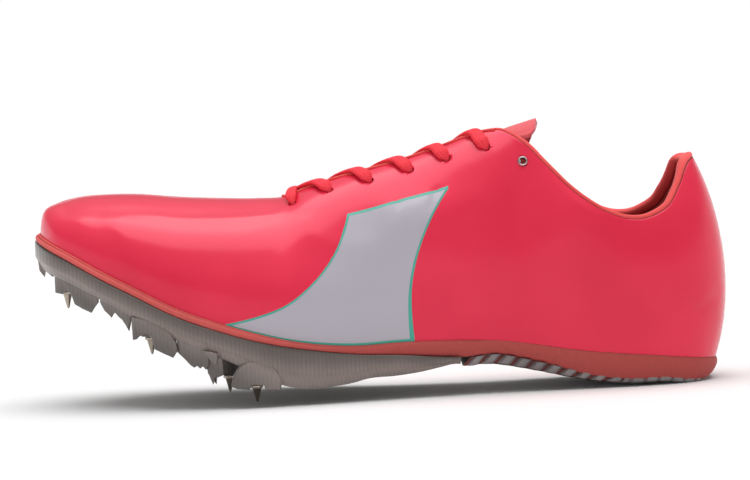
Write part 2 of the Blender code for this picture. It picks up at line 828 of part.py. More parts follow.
def hole_cutter(last, collection):
    """One cutter with a short round bar through the wall at each lace hole."""
    work = bmesh.new()
    holes = [(along, LACE_HOLE_RADIUS, LACE_HOLE_INSET) for along in LACE_ROWS]
    holes.append((EYELET_ALONG, EYELET_BORE + EYELET_WALL + GAP, EYELET_INSET))
    for side in (-1, 1):
        for along, radius, inset in holes:
            centre, direction = lace_hole(last, side, along, inset)
            bmesh.ops.create_cone(
                work,
                cap_ends=True,
                segments=HOLE_SIDES,
                radius1=radius,
                radius2=radius,
                depth=UPPER_WALL * 4,
                matrix=Matrix.Translation(centre) @ turned_to(direction),
            )
    return add_cutter("lace_hole_cutter", work, collection)


def make_upper(last, collection, material, cutter):
    work = bmesh.new()
    for side in (-1, 1):
        grid = [
            [work.verts.new(last.point(side, run, row / WALL_ROWS)) for row in range(WALL_ROWS + 1)]
            for run in wall_runs(last, COLUMN_STEP)
        ]
        for near, far in zip(grid, grid[1:]):
            for row in range(WALL_ROWS):
                corners = (near[row], far[row], far[row + 1], near[row + 1])
                work.faces.new(corners if side < 0 else corners[::-1])
    made = add_mesh("upper", work, collection, material)
    shell = made.modifiers.new("wall", "SOLIDIFY")
    shell.thickness = UPPER_WALL
    shell.offset = -1
    shell.use_even_offset = True
    boolean(made, cutter, "DIFFERENCE")
    return made


def make_binding(last, collection, material):
    """Rolled collar edge, from one side of the throat round the heel to the other, fuller at the heel."""
    end = last.run_of_edge(-1, BINDING_END)
    runs = last.runs(COLUMN_STEP, 0.0, end)
    stops = [(-1, run) for run in runs[::-1]] + [(1, run) for run in runs[1:]]
    edges = [last.point(side, run, 1.0) for side, run in stops]
    path, ups, halves = [], [], []
    for k, (side, run) in enumerate(stops):
        ahead = edges[min(k + 1, len(edges) - 1)] - edges[max(k - 1, 0)]
        out = ahead.cross(edges[k] - last.point(side, run, 1 - 1 / WALL_ROWS)).normalized()
        ups.append(out.cross(ahead).normalized())
        fullness = 1 - smoothstep(0.0, end, run)
        halves.append((BINDING_WIDTH + COLLAR_PADDING * fullness) / 2)
        path.append(edges[k] + ups[k] * (BINDING_HEIGHT / 2 + BINDING_SEAM) - out * (halves[k] - GAP))
    return add_mesh("collar_binding", tube(path, halves, BINDING_HEIGHT / 2, 8, ups), collection, material)


def tongue_depth(along):
    """How far the tongue's outer face lies below the closed instep."""
    return UPPER_WALL + GAP + TONGUE_SLACK + TONGUE_DIP * read_table(TONGUE_LINE, "along", along, "dip")


def make_tongue(last, collection, material):
    """Follows the closed instep inside the upper, and stands out beyond the collar."""
    start, end = last.run_of_edge(-1, TONGUE_END), last.run_of_edge(-1, TONGUE_FRONT)
    rings = []
    runs = last.runs(TONGUE_STEP, start, end)
    tab = [start + TONGUE_CORNER * (1 - math.cos(math.pi / 2 * k / 3)) for k in (1, 2)]
    for run in sorted(tab + runs):
        along = last.top_along(run)
        half = read_table(TONGUE_LINE, "along", along, "half") * BALL_WIDTH
        left = min(1.0, (run - start) / TONGUE_CORNER)
        half *= TONGUE_TAB + (1 - TONGUE_TAB) * math.sqrt(max(0.0, 1 - (1 - left) ** 2))
        lows = {side: last.share_at(last.closed_column(side, run), side, half) for side in (-1, 1)}
        spots = [(-1, lows[-1] + (1 - lows[-1]) * k / TONGUE_ACROSS) for k in range(TONGUE_ACROSS + 1)]
        spots += [(1, lows[1] + (1 - lows[1]) * k / TONGUE_ACROSS) for k in range(TONGUE_ACROSS)][::-1]
        depth = tongue_depth(along)
        outer = [last.beside(side, run, up, -depth, True) for side, up in spots]
        inner = [last.beside(side, run, up, -depth - TONGUE_WALL, True) for side, up in spots]
        rings.append(outer + inner[::-1])
    return add_mesh("tongue", loft(rings), collection, material)


def make_insole(last, sole, collection, material):
    sides = (Side(-INSOLE_INSET, 0.0), Side(-INSOLE_INSET, 1.0))
    runs = last.runs(COLUMN_STEP, last.run_at(INSOLE_BACK), last.run_at(INSOLE_FRONT))
    rings = [sole_ring(last, run, sides, sole.insole_top, sole.insole_bottom, ACROSS) for run in runs]
    return add_mesh("insole", loft(rings), collection, material)


# Sole


def rim_outset(along):
    return HEEL_RIM + (RIM - HEEL_RIM) * smoothstep(RIM_START, RIM_FULL, along)


def make_midsole(last, sole, collection, material):
    rings = []
    for run in last.runs(COLUMN_STEP):
        rim = rim_outset(last.along(run))
        tuck = HEEL_TUCK * (1 - smoothstep(RIM_START, RIM_FULL, last.along(run)))
        sides = (Side(rim - RIM / 4, 0.0), Side(rim, 0.3), Side(rim, 0.7), Side(rim - tuck, 1.0))
        rings.append(sole_ring(last, run, sides, sole.footbed, sole.midsole_bottom, ACROSS))
    return add_mesh("midsole", loft(rings), collection, material)


def make_plate_slab(last, sole, collection, material):
    rings = []
    runs = last.runs(COLUMN_STEP, last.run_at(PLATE_BACK))
    for run in runs:
        rim = rim_outset(last.along(run)) + PLATE_RIM
        sides = (Side(rim, 0.0), Side(rim, 0.6), Side(rim - SKIRT_TUCK, 1.0))
        rings.append(sole_ring(last, run, sides, sole.under_midsole, sole.plate_bottom, PLATE_ACROSS))
    return add_mesh("spike_plate", loft(rings), collection, material)


def add_block(work, sole, corners, bottoms):
    """Prism under the plate: plan corners in order round it, and the height of each bottom corner."""
    tops = []
    for corner in corners:
        along = (HEEL_BACK - corner.x) / LENGTH
        tops.append(Vector((corner.x, corner.y, sole.under_midsole(along) - PLATE_WEB / 2)))
    lows = [Vector((corner.x, corner.y, height)) for corner, height in zip(corners, bottoms)]
    high = [work.verts.new(point) for point in tops]
    low = [work.verts.new(point) for point in lows]
    count = len(high)
    for k in range(count):
        work.faces.new((high[k], high[(k + 1) % count], low[(k + 1) % count], low[k]))
    work.faces.new(high[::-1])
    work.faces.new(low)


def add_tooth(work, sole, tooth):
    """Blade along the plate's side, whose foot slopes and is shorter than its root."""
    middle = sole.spot(tooth.along, tooth.across)
    toward = math.copysign(1.0, tooth.across)
    half_x, half_y = tooth.length * LENGTH / 2, tooth.width * BALL_WIDTH / 2
    front, back = middle.x - half_x, middle.x + half_x
    corners = [
        Vector((front, middle.y - toward * half_y, 0)),
        Vector((back, middle.y - toward * half_y, 0)),
        Vector((back, middle.y + toward * half_y, 0)),
        Vector((front, middle.y + toward * half_y, 0)),
    ]
    edges = [sole.skirt((HEEL_BACK - x) / LENGTH) for x in (front, back, back, front)]
    drops = [tooth.front_drop, tooth.back_drop, tooth.back_drop, tooth.front_drop]
    add_block(work, sole, corners, [edge - drop * TOOTH_DEPTH for edge, drop in zip(edges, drops)])


def spike_base(sole, spike):
    """Centre of the flat face that a spike screws up to."""
    spot = sole.spot(spike.along, spike.across)
    tip = spike.tip * TOE_SPRING
    return Vector((spot.x, spot.y, tip + SPIKE_EXPOSED + GAP))


def add_boss(work, sole, spike):
    base = spike_base(sole, spike)
    turn = 2 * math.pi / BOSS_SIDES
    corners = [
        Vector((
            base.x + BOSS_RADIUS * math.cos(turn * (k + 0.5)),
            base.y + BOSS_RADIUS * math.sin(turn * (k + 0.5)),
            0,
        ))
        for k in range(BOSS_SIDES)
    ]
    add_block(work, sole, corners, [base.z] * BOSS_SIDES)


def join_blocks(name, blocks, helpers):
    """One cutter for each block, since blocks may run into each other."""
    found = []
    for k, (add, *values) in enumerate(blocks):
        work = bmesh.new()
        add(work, *values)
        found.append(add_cutter(f"{name}_{k + 1}", work, helpers))
    return found


def make_plate(last, sole, collection, helpers, material):
    plate = make_plate_slab(last, sole, collection, material)
    blocks = [(add_tooth, sole, tooth) for tooth in TEETH]
    blocks += [(add_boss, sole, spike) for spike in SPIKES]
    for block in join_blocks("plate_block", blocks, helpers):
        boolean(plate, block, "UNION")
    work = bmesh.new()
    for spike in SPIKES:
        bmesh.ops.create_cone(
            work,
            cap_ends=True,
            segments=HOLE_SIDES,
            radius1=SPIKE_SHANK_RADIUS + GAP,
            radius2=SPIKE_SHANK_RADIUS + GAP,
            depth=SEAT_DEPTH * 2,
            matrix=Matrix.Translation(spike_base(sole, spike)),
        )
    boolean(plate, add_cutter("spike_seat_cutter", work, helpers), "DIFFERENCE")
    return plate


def make_spikes(sole, collection, material):
    """Pins turned from bar: threaded shank, shoulder, then a tapering point with a blunt tip."""
    profile = (
        (0.0, SPIKE_SHANK_LENGTH),
        (SPIKE_SHANK_RADIUS, SPIKE_SHANK_LENGTH),
        (SPIKE_SHANK_RADIUS, 0.0),
        (SPIKE_SHOULDER_RADIUS, 0.0),
        (SPIKE_SHOULDER_RADIUS, -SPIKE_SHOULDER_HEIGHT),
        (SPIKE_TIP_RADIUS, -SPIKE_EXPOSED),
        (0.0, -SPIKE_EXPOSED),
    )
    for k, spike in enumerate(SPIKES):
        mesh = bpy.data.meshes.new(f"spike_{k + 1}")
        edges = [(i, i + 1) for i in range(len(profile) - 1)]
        mesh.from_pydata([(radius, 0.0, height) for radius, height in profile], edges, [])
        made = bpy.data.objects.new(f"spike_{k + 1}", mesh)
        collection.objects.link(made)
        made.location = spike_base(sole, spike) - Vector((0, 0, GAP))
        turn = made.modifiers.new("turn", "SCREW")
        turn.steps = turn.render_steps = SPIKE_SIDES
        turn.use_merge_vertices = True
        turn.merge_threshold = 0.00001
        mesh.materials.append(material)


def make_tread(last, sole, collection, material):
    """Thin rubber under arch and heel, with slanted ribs down its edge."""
    rings = []
    start, end = last.run_at(TREAD_BACK), last.run_at(TREAD_FRONT)
    ribs_start = last.run_at(RIBS_BACK)
    plain = last.runs(COLUMN_STEP, start, ribs_start)
    stops = [(run, RIB_RAISE) for run in plain[:-1]]
    pitch = (end - ribs_start) / RIB_COUNT
    for k in range(RIB_COUNT):
        low = ribs_start + pitch * k
        stops += [(low + pitch * share, RIB_RAISE * raised) for share, raised in RIB_PROFILE]
    stops.append((end, 0.0))
    for run, raised in stops:
        along = last.along(run)
        rim = rim_outset(along) - HEEL_TUCK - RIB_RAISE + raised
        slant = RIB_SLANT * smoothstep(*RIB_LEAN_START, along)
        sides = (Side(rim, 0.0), Side(rim, 1.0))
        rings.append(sole_ring(last, run, sides, sole.tread_top, sole.tread_bottom, ACROSS, slant))
    return add_mesh("heel_tread", loft(rings), collection, material)


# Laces and eyelets


def lace_tube(path, ups):
    return tube(path, [LACE_WIDTH / 2] * len(path), LACE_THICKNESS / 2, LACE_SIDES, ups)


def make_laces(last, collection, helpers, material):
    lift = LACE_THICKNESS / 2 + GAP + LACE_SLACK

    def over_hole(side, along):
        centre, out = lace_hole(last, side, along, LACE_HOLE_INSET)
        return centre + out * lift, out

    def over_edge(side, along):
        run = last.run_of_edge(side, along)
        out = last.outward(side, run, 1.0)
        return last.point(side, run, 1.0) + out * lift, out

    def on_tongue(side, along):
        run = last.run_of_edge(side, along)
        column = last.closed_column(side, run)
        up = last.share_at(column, side, abs(last.point(side, run, 1.0).y - column[3].y) * LACE_SLOT_SHARE)
        return last.beside(side, run, up, lift - tongue_depth(along), True)

    def strand(side, near, far, lift_middle):
        """From the hole at near on this side, over the edge and across onto the tongue towards far."""
        start, start_up = over_hole(side, near)
        edge = over_edge(side, near + (far - near) * LACE_OVER_EDGE)[0]
        end = on_tongue(-side, near + (far - near) * LACE_ONTO_TONGUE)
        middle = (edge + end) / 2 + Vector((0, 0, lift_middle))
        path = smooth_path([start, edge, middle, end], LACE_STEPS)
        ups = []
        for k in range(len(path)):
            share = k / (len(path) - 1)
            ups.append((start_up.lerp(Vector((0, 0, 1)), smoothstep(0.0, 0.6, share))).normalized())
        return lace_tube(path, ups)

    bar_ends = {side: over_hole(side, LACE_ROWS[0]) for side in (-1, 1)}
    run = last.run_of_edge(-1, LACE_ROWS[0])
    stops = [bar_ends[-1][0], over_edge(-1, LACE_ROWS[0])[0]]
    stops += [last.closed_column(-1, run)[3] + Vector((0, 0, lift))]
    stops += [over_edge(1, LACE_ROWS[0])[0], bar_ends[1][0]]
    path = smooth_path(stops, LACE_STEPS)
    outs = [bar_ends[-1][1], Vector((0, 0, 1)), bar_ends[1][1]]
    ups = [
        outs[0].lerp(outs[1], min(1.0, 2 * k / (len(path) - 1))).lerp(
            outs[2], max(0.0, 2 * k / (len(path) - 1) - 1)
        ).normalized()
        for k in range(len(path))
    ]
    add_mesh("lace_bar", lace_tube(path, ups), collection, material)
    for k, (far, near) in enumerate(zip(LACE_ROWS, LACE_ROWS[1:])):
        over = strand(-1, near, far, LACE_THICKNESS * LACE_OVER_LIFT)
        made = add_mesh(f"lace_crossing_{k + 1}", over, collection, material)
        under = add_cutter(f"lace_under_{k + 1}", strand(1, near, far, LACE_THICKNESS * LACE_UNDER_LIFT), helpers)
        boolean(made, under, "UNION")


def make_eyelets(last, collection, material):
    """Metal rings of the two lace holes that the lace doesn't use."""
    barrel = EYELET_BORE + EYELET_WALL
    profile = (
        (EYELET_BORE, GAP + EYELET_WALL),
        (EYELET_FLANGE, GAP + EYELET_WALL),
        (EYELET_FLANGE, GAP),
        (barrel, GAP),
        (barrel, -UPPER_WALL),
        (EYELET_BORE, -UPPER_WALL),
    )
    for side, name in ((-1, "eyelet_lateral"), (1, "eyelet_medial")):
        centre, direction = lace_hole(last, side, EYELET_ALONG, EYELET_INSET)
        mesh = bpy.data.meshes.new(name)
        count = len(profile)
        edges = [(i, (i + 1) % count) for i in range(count)]
        mesh.from_pydata([(radius, 0.0, height) for radius, height in profile], edges, [])
        made = bpy.data.objects.new(name, mesh)
        collection.objects.link(made)
        made.matrix_world = Matrix.Translation(centre + direction * EYELET_LIFT) @ turned_to(direction)
        turn = made.modifiers.new("turn", "SCREW")
        turn.steps = turn.render_steps = HOLE_SIDES
        turn.use_merge_vertices = True
        turn.merge_threshold = 0.00001
        mesh.materials.append(material)


def build():
    clear_scene()
    parts = make_collection("track_spike_shoe")
    helpers = make_collection("cutters")
    materials = {name: make_material(name) for name in COLOURS}
    last = Last()
    sole = Sole(last)
    make_upper(last, parts, materials["upper"], hole_cutter(last, helpers))
    make_binding(last, parts, materials["binding"])
    make_tongue(last, parts, materials["tongue"])
    make_insole(last, sole, parts, materials["insole"])
    make_midsole(last, sole, parts, materials["foam"])
    make_plate(last, sole, parts, helpers, materials["plate"])
    make_spikes(sole, parts, materials["steel"])
    make_tread(last, sole, parts, materials["tread"])
    make_laces(last, parts, helpers, materials["lace"])
    make_eyelets(last, parts, materials["steel"])


build()
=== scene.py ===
"""Looks of the track spike shoe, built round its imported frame.

Metres, +Z up, toe towards -X, outer (lateral) side towards -Y. The last is worked out again from the same
sizes and tables as the frame's solids, with finer columns, and each soft piece replaces its plain solid.
"""

import math
from collections import namedtuple

import bmesh
import bpy
from mathutils import Matrix, Vector


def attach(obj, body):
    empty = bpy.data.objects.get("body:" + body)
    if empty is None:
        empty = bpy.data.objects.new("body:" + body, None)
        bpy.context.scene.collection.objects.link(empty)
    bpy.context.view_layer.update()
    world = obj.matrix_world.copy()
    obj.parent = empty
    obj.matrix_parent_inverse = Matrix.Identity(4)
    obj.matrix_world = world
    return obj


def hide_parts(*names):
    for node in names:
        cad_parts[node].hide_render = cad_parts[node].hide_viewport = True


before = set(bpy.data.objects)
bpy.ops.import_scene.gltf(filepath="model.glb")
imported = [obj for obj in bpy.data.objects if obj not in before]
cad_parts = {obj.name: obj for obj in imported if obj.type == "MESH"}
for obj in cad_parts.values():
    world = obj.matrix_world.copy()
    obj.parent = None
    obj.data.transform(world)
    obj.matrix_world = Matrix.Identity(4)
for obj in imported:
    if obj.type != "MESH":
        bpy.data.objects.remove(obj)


# Driving sizes of the shoe
LENGTH = 0.280
BALL_WIDTH = 0.088
INSTEP_RISE = 0.084
HEEL_RISE = 0.0816
TOE_SPRING = 0.070
HEEL_BACK = 0.0325

# Walls and clearances
GAP = 0.0003
TREAD_SEAM = 0.0006
UPPER_WALL = 0.0014
TONGUE_WALL = 0.0020
TONGUE_SLACK = 0.0005
INSOLE_THICKNESS = 0.0028
INSOLE_INSET = 0.0026
TREAD_THICKNESS = 0.0018
TREAD_ARCH = 0.0014
PLATE_WEB = 0.0026
EDGE_LIFT = 0.0022

# How far the sole's layers stand out from the foot line
RIM = 0.0022
HEEL_RIM = 0.0006
HEEL_TUCK = 0.0012
PLATE_RIM = 0.0004
SKIRT_TUCK = 0.0014

# Fittings
BINDING_WIDTH = 0.0024
BINDING_HEIGHT = 0.0024
COLLAR_PADDING = 0.0032
LACE_WIDTH = 0.0046
LACE_THICKNESS = 0.0022
LACE_HOLE_RADIUS = 0.0016
LACE_HOLE_INSET = 0.0094
EYELET_INSET = 0.0080
EYELET_BORE = 0.0013
EYELET_WALL = 0.0003
SPIKE_EXPOSED = 0.0070
SPIKE_SHOULDER_RADIUS = 0.0026
SPIKE_SHOULDER_HEIGHT = 0.0012
SPIKE_TIP_RADIUS = 0.0004
BOSS_RADIUS = 0.0046
TOOTH_DEPTH = 0.0120
RIB_RAISE = 0.0010
RIB_SLANT = 0.0030
TONGUE_CORNER = 0.0050

# Places along the shoe, shares of LENGTH from the rearmost point
LACE_ROWS = (0.620, 0.567, 0.508, 0.449, 0.395, 0.337)
EYELET_ALONG = 0.289
BINDING_END = 0.336
TONGUE_END = 0.270
TONGUE_FRONT = 0.690
INSOLE_BACK = 0.026
INSOLE_FRONT = 0.966
RIM_START = 0.250
RIM_FULL = 0.600
TREAD_BACK = 0.046
RIBS_BACK = 0.160
TREAD_FRONT = 0.378
PLATE_BACK = 0.392
EDGE_LIFT_START = (0.030, 0.110)
EDGE_LIFT_FADE = (0.330, 0.390)

# Where shapes turn from one to the next, from and to these shares of LENGTH
LEAN_TURN = (0.20, 0.34)
DISH_START = (0.02, 0.12)
DISH_END = (0.80, 0.96)
RIB_LEAN_START = (0.13, 0.19)

# Depth of the footbed's dish, share of the midsole's thickness
DISH = 0.42

# Shares of the way from the plate's middle to its edge, and from one row of lace holes to the next
PLATE_HOLLOW = (0.45, 0.95)
LACE_OVER_EDGE = 0.36


# Foot line of the upper, heel to toe. along: share of LENGTH from the rearmost point. lateral and medial:
# distances from the centre line, shares of BALL_WIDTH. height: above the floor, share of TOE_SPRING.
Foot = namedtuple("Foot", "along lateral medial height")
FOOT_LINE = [Foot(*row) for row in (
    (0.019, 0, 0, 0.123), (0.024, 0.108, 0.108, 0.126), (0.045, 0.21, 0.21, 0.136),
    (0.08, 0.284, 0.278, 0.155), (0.105, 0.308, 0.3, 0.168), (0.13, 0.324, 0.312, 0.179),
    (0.165, 0.335, 0.318, 0.195), (0.2, 0.341, 0.315, 0.211), (0.24, 0.344, 0.302, 0.236),
    (0.28, 0.347, 0.286, 0.266), (0.315, 0.35, 0.27, 0.29), (0.345, 0.353, 0.258, 0.304),
    (0.375, 0.358, 0.25, 0.31), (0.42, 0.368, 0.248, 0.314), (0.48, 0.392, 0.266, 0.314),
    (0.54, 0.426, 0.306, 0.31), (0.6, 0.46, 0.354, 0.336), (0.635, 0.476, 0.385, 0.364),
    (0.67, 0.484, 0.414, 0.402), (0.73, 0.482, 0.45, 0.481), (0.79, 0.45, 0.464, 0.575),
    (0.845, 0.394, 0.452, 0.69), (0.892, 0.322, 0.418, 0.786), (0.933, 0.236, 0.368, 0.876),
    (0.965, 0.146, 0.31, 0.944), (0.985, 0.02, 0.232, 0.985), (0.991, -0.105, 0.105, 1),
)]

# Top of each column of the wall. along: share of LENGTH. centre and half: of the collar or throat opening,
# shares of BALL_WIDTH. heel and instep: height of the collar above the foot line, shares of HEEL_RISE and
# INSTEP_RISE, which add up. ridge: height of the closed instep and vamp above the foot line, share of
# INSTEP_RISE, up to which the wall would reach if the throat weren't cut.
Top = namedtuple("Top", "along centre half heel instep ridge")
TOP_LINE = [Top(*row) for row in (
    (0.04, 0, 0, 0.992, 0, 0), (0.043, 0, 0.07, 0.982, 0, 0), (0.053, 0, 0.133, 0.942, 0, 0),
    (0.07, 0, 0.2, 0.808, 0, 0), (0.085, 0, 0.242, 0.722, 0, 0), (0.11, 0, 0.281, 0.52, 0.143, 0),
    (0.145, 0, 0.306, 0.33, 0.308, 0), (0.182, 0.001, 0.314, 0.15, 0.518, 0),
    (0.222, 0.003, 0.298, 0, 0.739, 1.202), (0.258, 0.006, 0.262, 0, 0.84, 1.142),
    (0.288, 0.01, 0.217, 0, 0.929, 1.092), (0.316, 0.013, 0.165, 0, 0.972, 1.054),
    (0.35, 0.015, 0.13, 0, 0, 1.011), (0.405, 0.017, 0.109, 0, 0, 0.935),
    (0.472, 0.02, 0.098, 0, 0, 0.864), (0.536, 0.023, 0.089, 0, 0, 0.814), (0.6, 0.027, 0.08, 0, 0, 0.73),
    (0.635, 0.03, 0.078, 0, 0, 0.661), (0.67, 0.034, 0, 0, 0, 0.627), (0.73, 0.044, 0, 0, 0, 0.571),
    (0.79, 0.057, 0, 0, 0, 0.508), (0.845, 0.071, 0, 0, 0, 0.433), (0.892, 0.082, 0, 0, 0, 0.358),
    (0.933, 0.092, 0, 0, 0, 0.276), (0.965, 0.099, 0, 0, 0, 0.194), (0.985, 0.103, 0, 0, 0, 0.121),
    (0.991, 0.105, 0, 0, 0, 0),
)]
THROAT_TOP_ROW = 11
THROAT_FRONT_ROW = 17
THROAT_END = 0.0060

# Tolerances and samples of the curves
WELD = 0.00002
HALVINGS = 30
LENGTH_STEPS = 12
PROBE_UP = 0.02
PROBE_RUN = 0.002

# Fullness of the wall. swell: how far it stands out above the foot line, lean: below the collar, shares of
# BALL_WIDTH. rise and fall: how long it does so, shares of the wall's height. crown: how far the closed
# instep and vamp stay level from the ridge towards the side, share of the way to the foot line.
Wall = namedtuple("Wall", "swell rise lean fall crown")
WALL_SHAPE = [Wall(*row) for row in (
    (0.108, 0.31, 0.13, 0.28, 0), (0.097, 0.31, 0.125, 0.28, 0), (0.08, 0.31, 0.118, 0.29, 0),
    (0.068, 0.32, 0.102, 0.31, 0), (0.06, 0.33, 0.09, 0.33, 0), (0.054, 0.33, 0.08, 0.34, 0),
    (0.048, 0.33, 0.068, 0.34, 0), (0.043, 0.33, 0.062, 0.34, 0), (0.041, 0.33, 0.074, 0.33, 0.84),
    (0.04, 0.35, 0.086, 0.31, 0.84), (0.04, 0.38, 0.09, 0.26, 0.84), (0.04, 0.42, 0, 0, 0.84),
    (0.04, 0.44, 0, 0, 0.8), (0.04, 0.46, 0, 0, 0.74), (0.04, 0.47, 0, 0, 0.68),
    (0.037, 0.48, 0, 0, 0.64), (0.034, 0.48, 0, 0, 0.62), (0.034, 0.48, 0, 0, 0.61),
    (0.032, 0.49, 0, 0, 0.6), (0.028, 0.5, 0, 0, 0.59), (0.025, 0.51, 0, 0, 0.58),
    (0.022, 0.52, 0, 0, 0.58), (0.018, 0.54, 0, 0, 0.58), (0.014, 0.55, 0, 0, 0.58),
    (0.009, 0.56, 0, 0, 0.58), (0.004, 0.56, 0, 0, 0.58), (0, 0.56, 0, 0, 0.58),
)]

# Thickness of the midsole under the foot line, share of HEEL_STACK, against share of LENGTH.
HEEL_STACK = 0.0084
Depth = namedtuple("Depth", "along share")
MIDSOLE_DEPTH = [Depth(*row) for row in (
    (0.01, 0.3), (0.02, 0.46), (0.026, 0.66), (0.036, 0.86), (0.05, 1.01), (0.07, 1.07), (0.11, 1.2),
    (0.15, 1.34), (0.178, 1.32), (0.221, 1.23), (0.259, 1.1), (0.302, 0.97), (0.345, 0.84), (0.398, 0.76),
    (0.448, 0.63), (0.52, 0.4), (0.555, 0.3), (0.608, 0.25), (0.7, 0.34), (0.85, 0.33), (0.96, 0.3),
    (1, 0.26),
)]

# Depth of the plate's skirt under the midsole, share of PLATE_DEPTH.
PLATE_DEPTH = 0.0155
SKIRT_DEPTH = [Depth(*row) for row in (
    (0.38, 0.1), (0.398, 0.15), (0.422, 0.27), (0.449, 0.4), (0.485, 0.52), (0.521, 0.58), (0.545, 0.72),
    (0.575, 0.86), (0.605, 0.97), (0.64, 0.97), (0.67, 0.86), (0.7, 0.72), (0.731, 0.64), (0.785, 0.6),
    (0.847, 0.58), (0.896, 0.53), (0.962, 0.6), (1, 0.7),
)]
# Tongue. half: half width, share of BALL_WIDTH. dip: how far the laces press it down, share of TONGUE_DIP.
TONGUE_DIP = 0.0034
Pad = namedtuple("Pad", "along half dip")
TONGUE_LINE = [Pad(*row) for row in (
    (0.262, 0.19, 1.06), (0.3, 0.175, 1), (0.35, 0.2, 1.06), (0.395, 0.21, 0.94), (0.45, 0.215, 0.72),
    (0.56, 0.215, 0.5), (0.64, 0.19, 0.34), (0.69, 0.15, 0.2),
)]

# Plain lugs under the plate. across: share of the plate's half width, negative on the lateral side. length:
# share of LENGTH, width: of BALL_WIDTH, drops: depth of the front and back of its foot below the skirt's
# edge, shares of TOOTH_DEPTH.
Tooth = namedtuple("Tooth", "along across length width front_drop back_drop")
TEETH = [Tooth(*row) for row in (
    (0.987, 0.9, 0.017, 0.05, 0.14, 0.34), (0.747, -0.3, 0.015, 0.05, 0.9, 1.25),
    (0.95, 0.8, 0.026, 0.055, 0.6, 0.41), (0.908, 0.86, 0.036, 0.055, 0.58, 0.5),
    (0.862, 0.88, 0.03, 0.05, 0.46, 0.4), (0.812, 0.88, 0.04, 0.055, 0.64, 0.5),
    (0.762, 0.88, 0.036, 0.055, 0.62, 0.5), (0.69, 0.86, 0.05, 0.07, 0.6, 0.1),
)]

# Lugs along the lateral side, seen from that side. outset: of their outer face from the foot line, width:
# both in metres. foot: rows of share of LENGTH and height as a share of TOE_SPRING, front to back. crown:
# the same for the top of a lug that stands out from the plate's side, back to front.
Lug = namedtuple("Lug", "outset width foot crown")
LATERAL_LUGS = (
    Lug(0.0002, 0.0060, ((0.993, 0.846), (0.992, 0.795), (0.985, 0.755), (0.982, 0.793), (0.979, 0.822)), ()),
    Lug(
        0.0008, 0.0046,
        (
            (0.966, 0.671), (0.954, 0.664), (0.951, 0.676), (0.946, 0.684), (0.941, 0.664), (0.936, 0.606),
            (0.924, 0.580), (0.911, 0.558), (0.907, 0.582), (0.900, 0.616),
        ),
        (),
    ),
    Lug(
        0.0010, 0.0040,
        (
            (0.897, 0.616), (0.891, 0.570), (0.885, 0.548), (0.881, 0.530), (0.876, 0.560), (0.870, 0.532),
            (0.866, 0.520), (0.861, 0.488), (0.856, 0.454), (0.853, 0.509),
        ),
        (),
    ),
    Lug(
        0.0022, 0.0046,
        (
            (0.852, 0.536), (0.851, 0.404), (0.845, 0.409), (0.841, 0.424), (0.835, 0.438), (0.829, 0.436),
            (0.8235, 0.415), (0.820, 0.350), (0.806, 0.322), (0.794, 0.300), (0.790, 0.323), (0.787, 0.338),
        ),
        ((0.789, 0.385), (0.796, 0.438), (0.808, 0.482), (0.823, 0.512), (0.838, 0.530)),
    ),
    Lug(
        0.0012, 0.0040,
        (
            (0.788, 0.330), (0.778, 0.290), (0.770, 0.254), (0.765, 0.240), (0.761, 0.250), (0.757, 0.234),
            (0.753, 0.246), (0.749, 0.226), (0.744, 0.250),
        ),
        (),
    ),
    Lug(0.0004, 0.0036, ((0.748, 0.235), (0.744, 0.185), (0.740, 0.140), (0.736, 0.176), (0.726, 0.190)), ()),
    Lug(
        0.0030, 0.0030,
        ((0.736, 0.248), (0.732, 0.262), (0.731, 0.318)),
        ((0.742, 0.330), (0.752, 0.332)),
    ),
    Lug(
        0.0024, 0.0070,
        (
            (0.714, 0.128), (0.706, 0.112), (0.689, 0.106), (0.686, 0.128), (0.669, 0.128), (0.666, 0.100),
            (0.655, 0.096), (0.646, 0.094),
        ),
        ((0.643, 0.150), (0.650, 0.214), (0.662, 0.252), (0.676, 0.266), (0.690, 0.264), (0.702, 0.238),
         (0.711, 0.190)),
    ),
)

# Spikes. across: share of the plate's half width. tip: height above the floor, share of TOE_SPRING.
Spike = namedtuple("Spike", "along across tip")
SPIKES = [Spike(*row) for row in (
    (0.95, -0.62, 0.574), (0.905, 0.62, 0.575), (0.843, -0.05, 0.43), (0.828, -0.68, 0.306),
    (0.791, 0.68, 0.3), (0.73, 0.68, 0), (0.6825, -0.44, 0),
)]


def smoothstep(low, high, value):
    share = min(1.0, max(0.0, (value - low) / (high - low)))
    return share * share * (3 - 2 * share)


def hermite(p, q, slope_p, slope_q, width, share):
    """Cubic from p to q with those slopes at its ends."""
    a, b = share * share, share * share * share
    return (
        p * (2 * b - 3 * a + 1)
        + q * (3 * a - 2 * b)
        + slope_p * (width * (b - 2 * a + share))
        + slope_q * (width * (b - a))
    )


def read_table(table, key, place, value):
    """Value of a table at this place, by a smooth curve through its rows."""
    keys = [getattr(row, key) for row in table]
    values = [getattr(row, value) for row in table]
    place = min(max(place, keys[0]), keys[-1])
    last = len(keys) - 2
    i = next((k for k in range(last) if place <= keys[k + 1]), last)

    def slope(k):
        before, after = max(k - 1, 0), min(k + 1, len(keys) - 1)
        return (values[after] - values[before]) / (keys[after] - keys[before])

    width = keys[i + 1] - keys[i]
    return hermite(values[i], values[i + 1], slope(i), slope(i + 1), width, (place - keys[i]) / width)


def round_end(share):
    """Height of a quarter circle at this share of its way, from 0 to 1."""
    return math.sqrt(max(0.0, 1 - (1 - share) ** 2))


def bezier(points, share):
    a, b, c, d = points
    rest = 1 - share
    return (
        a * rest**3
        + b * (3 * rest * rest * share)
        + c * (3 * rest * share * share)
        + d * share**3
    )


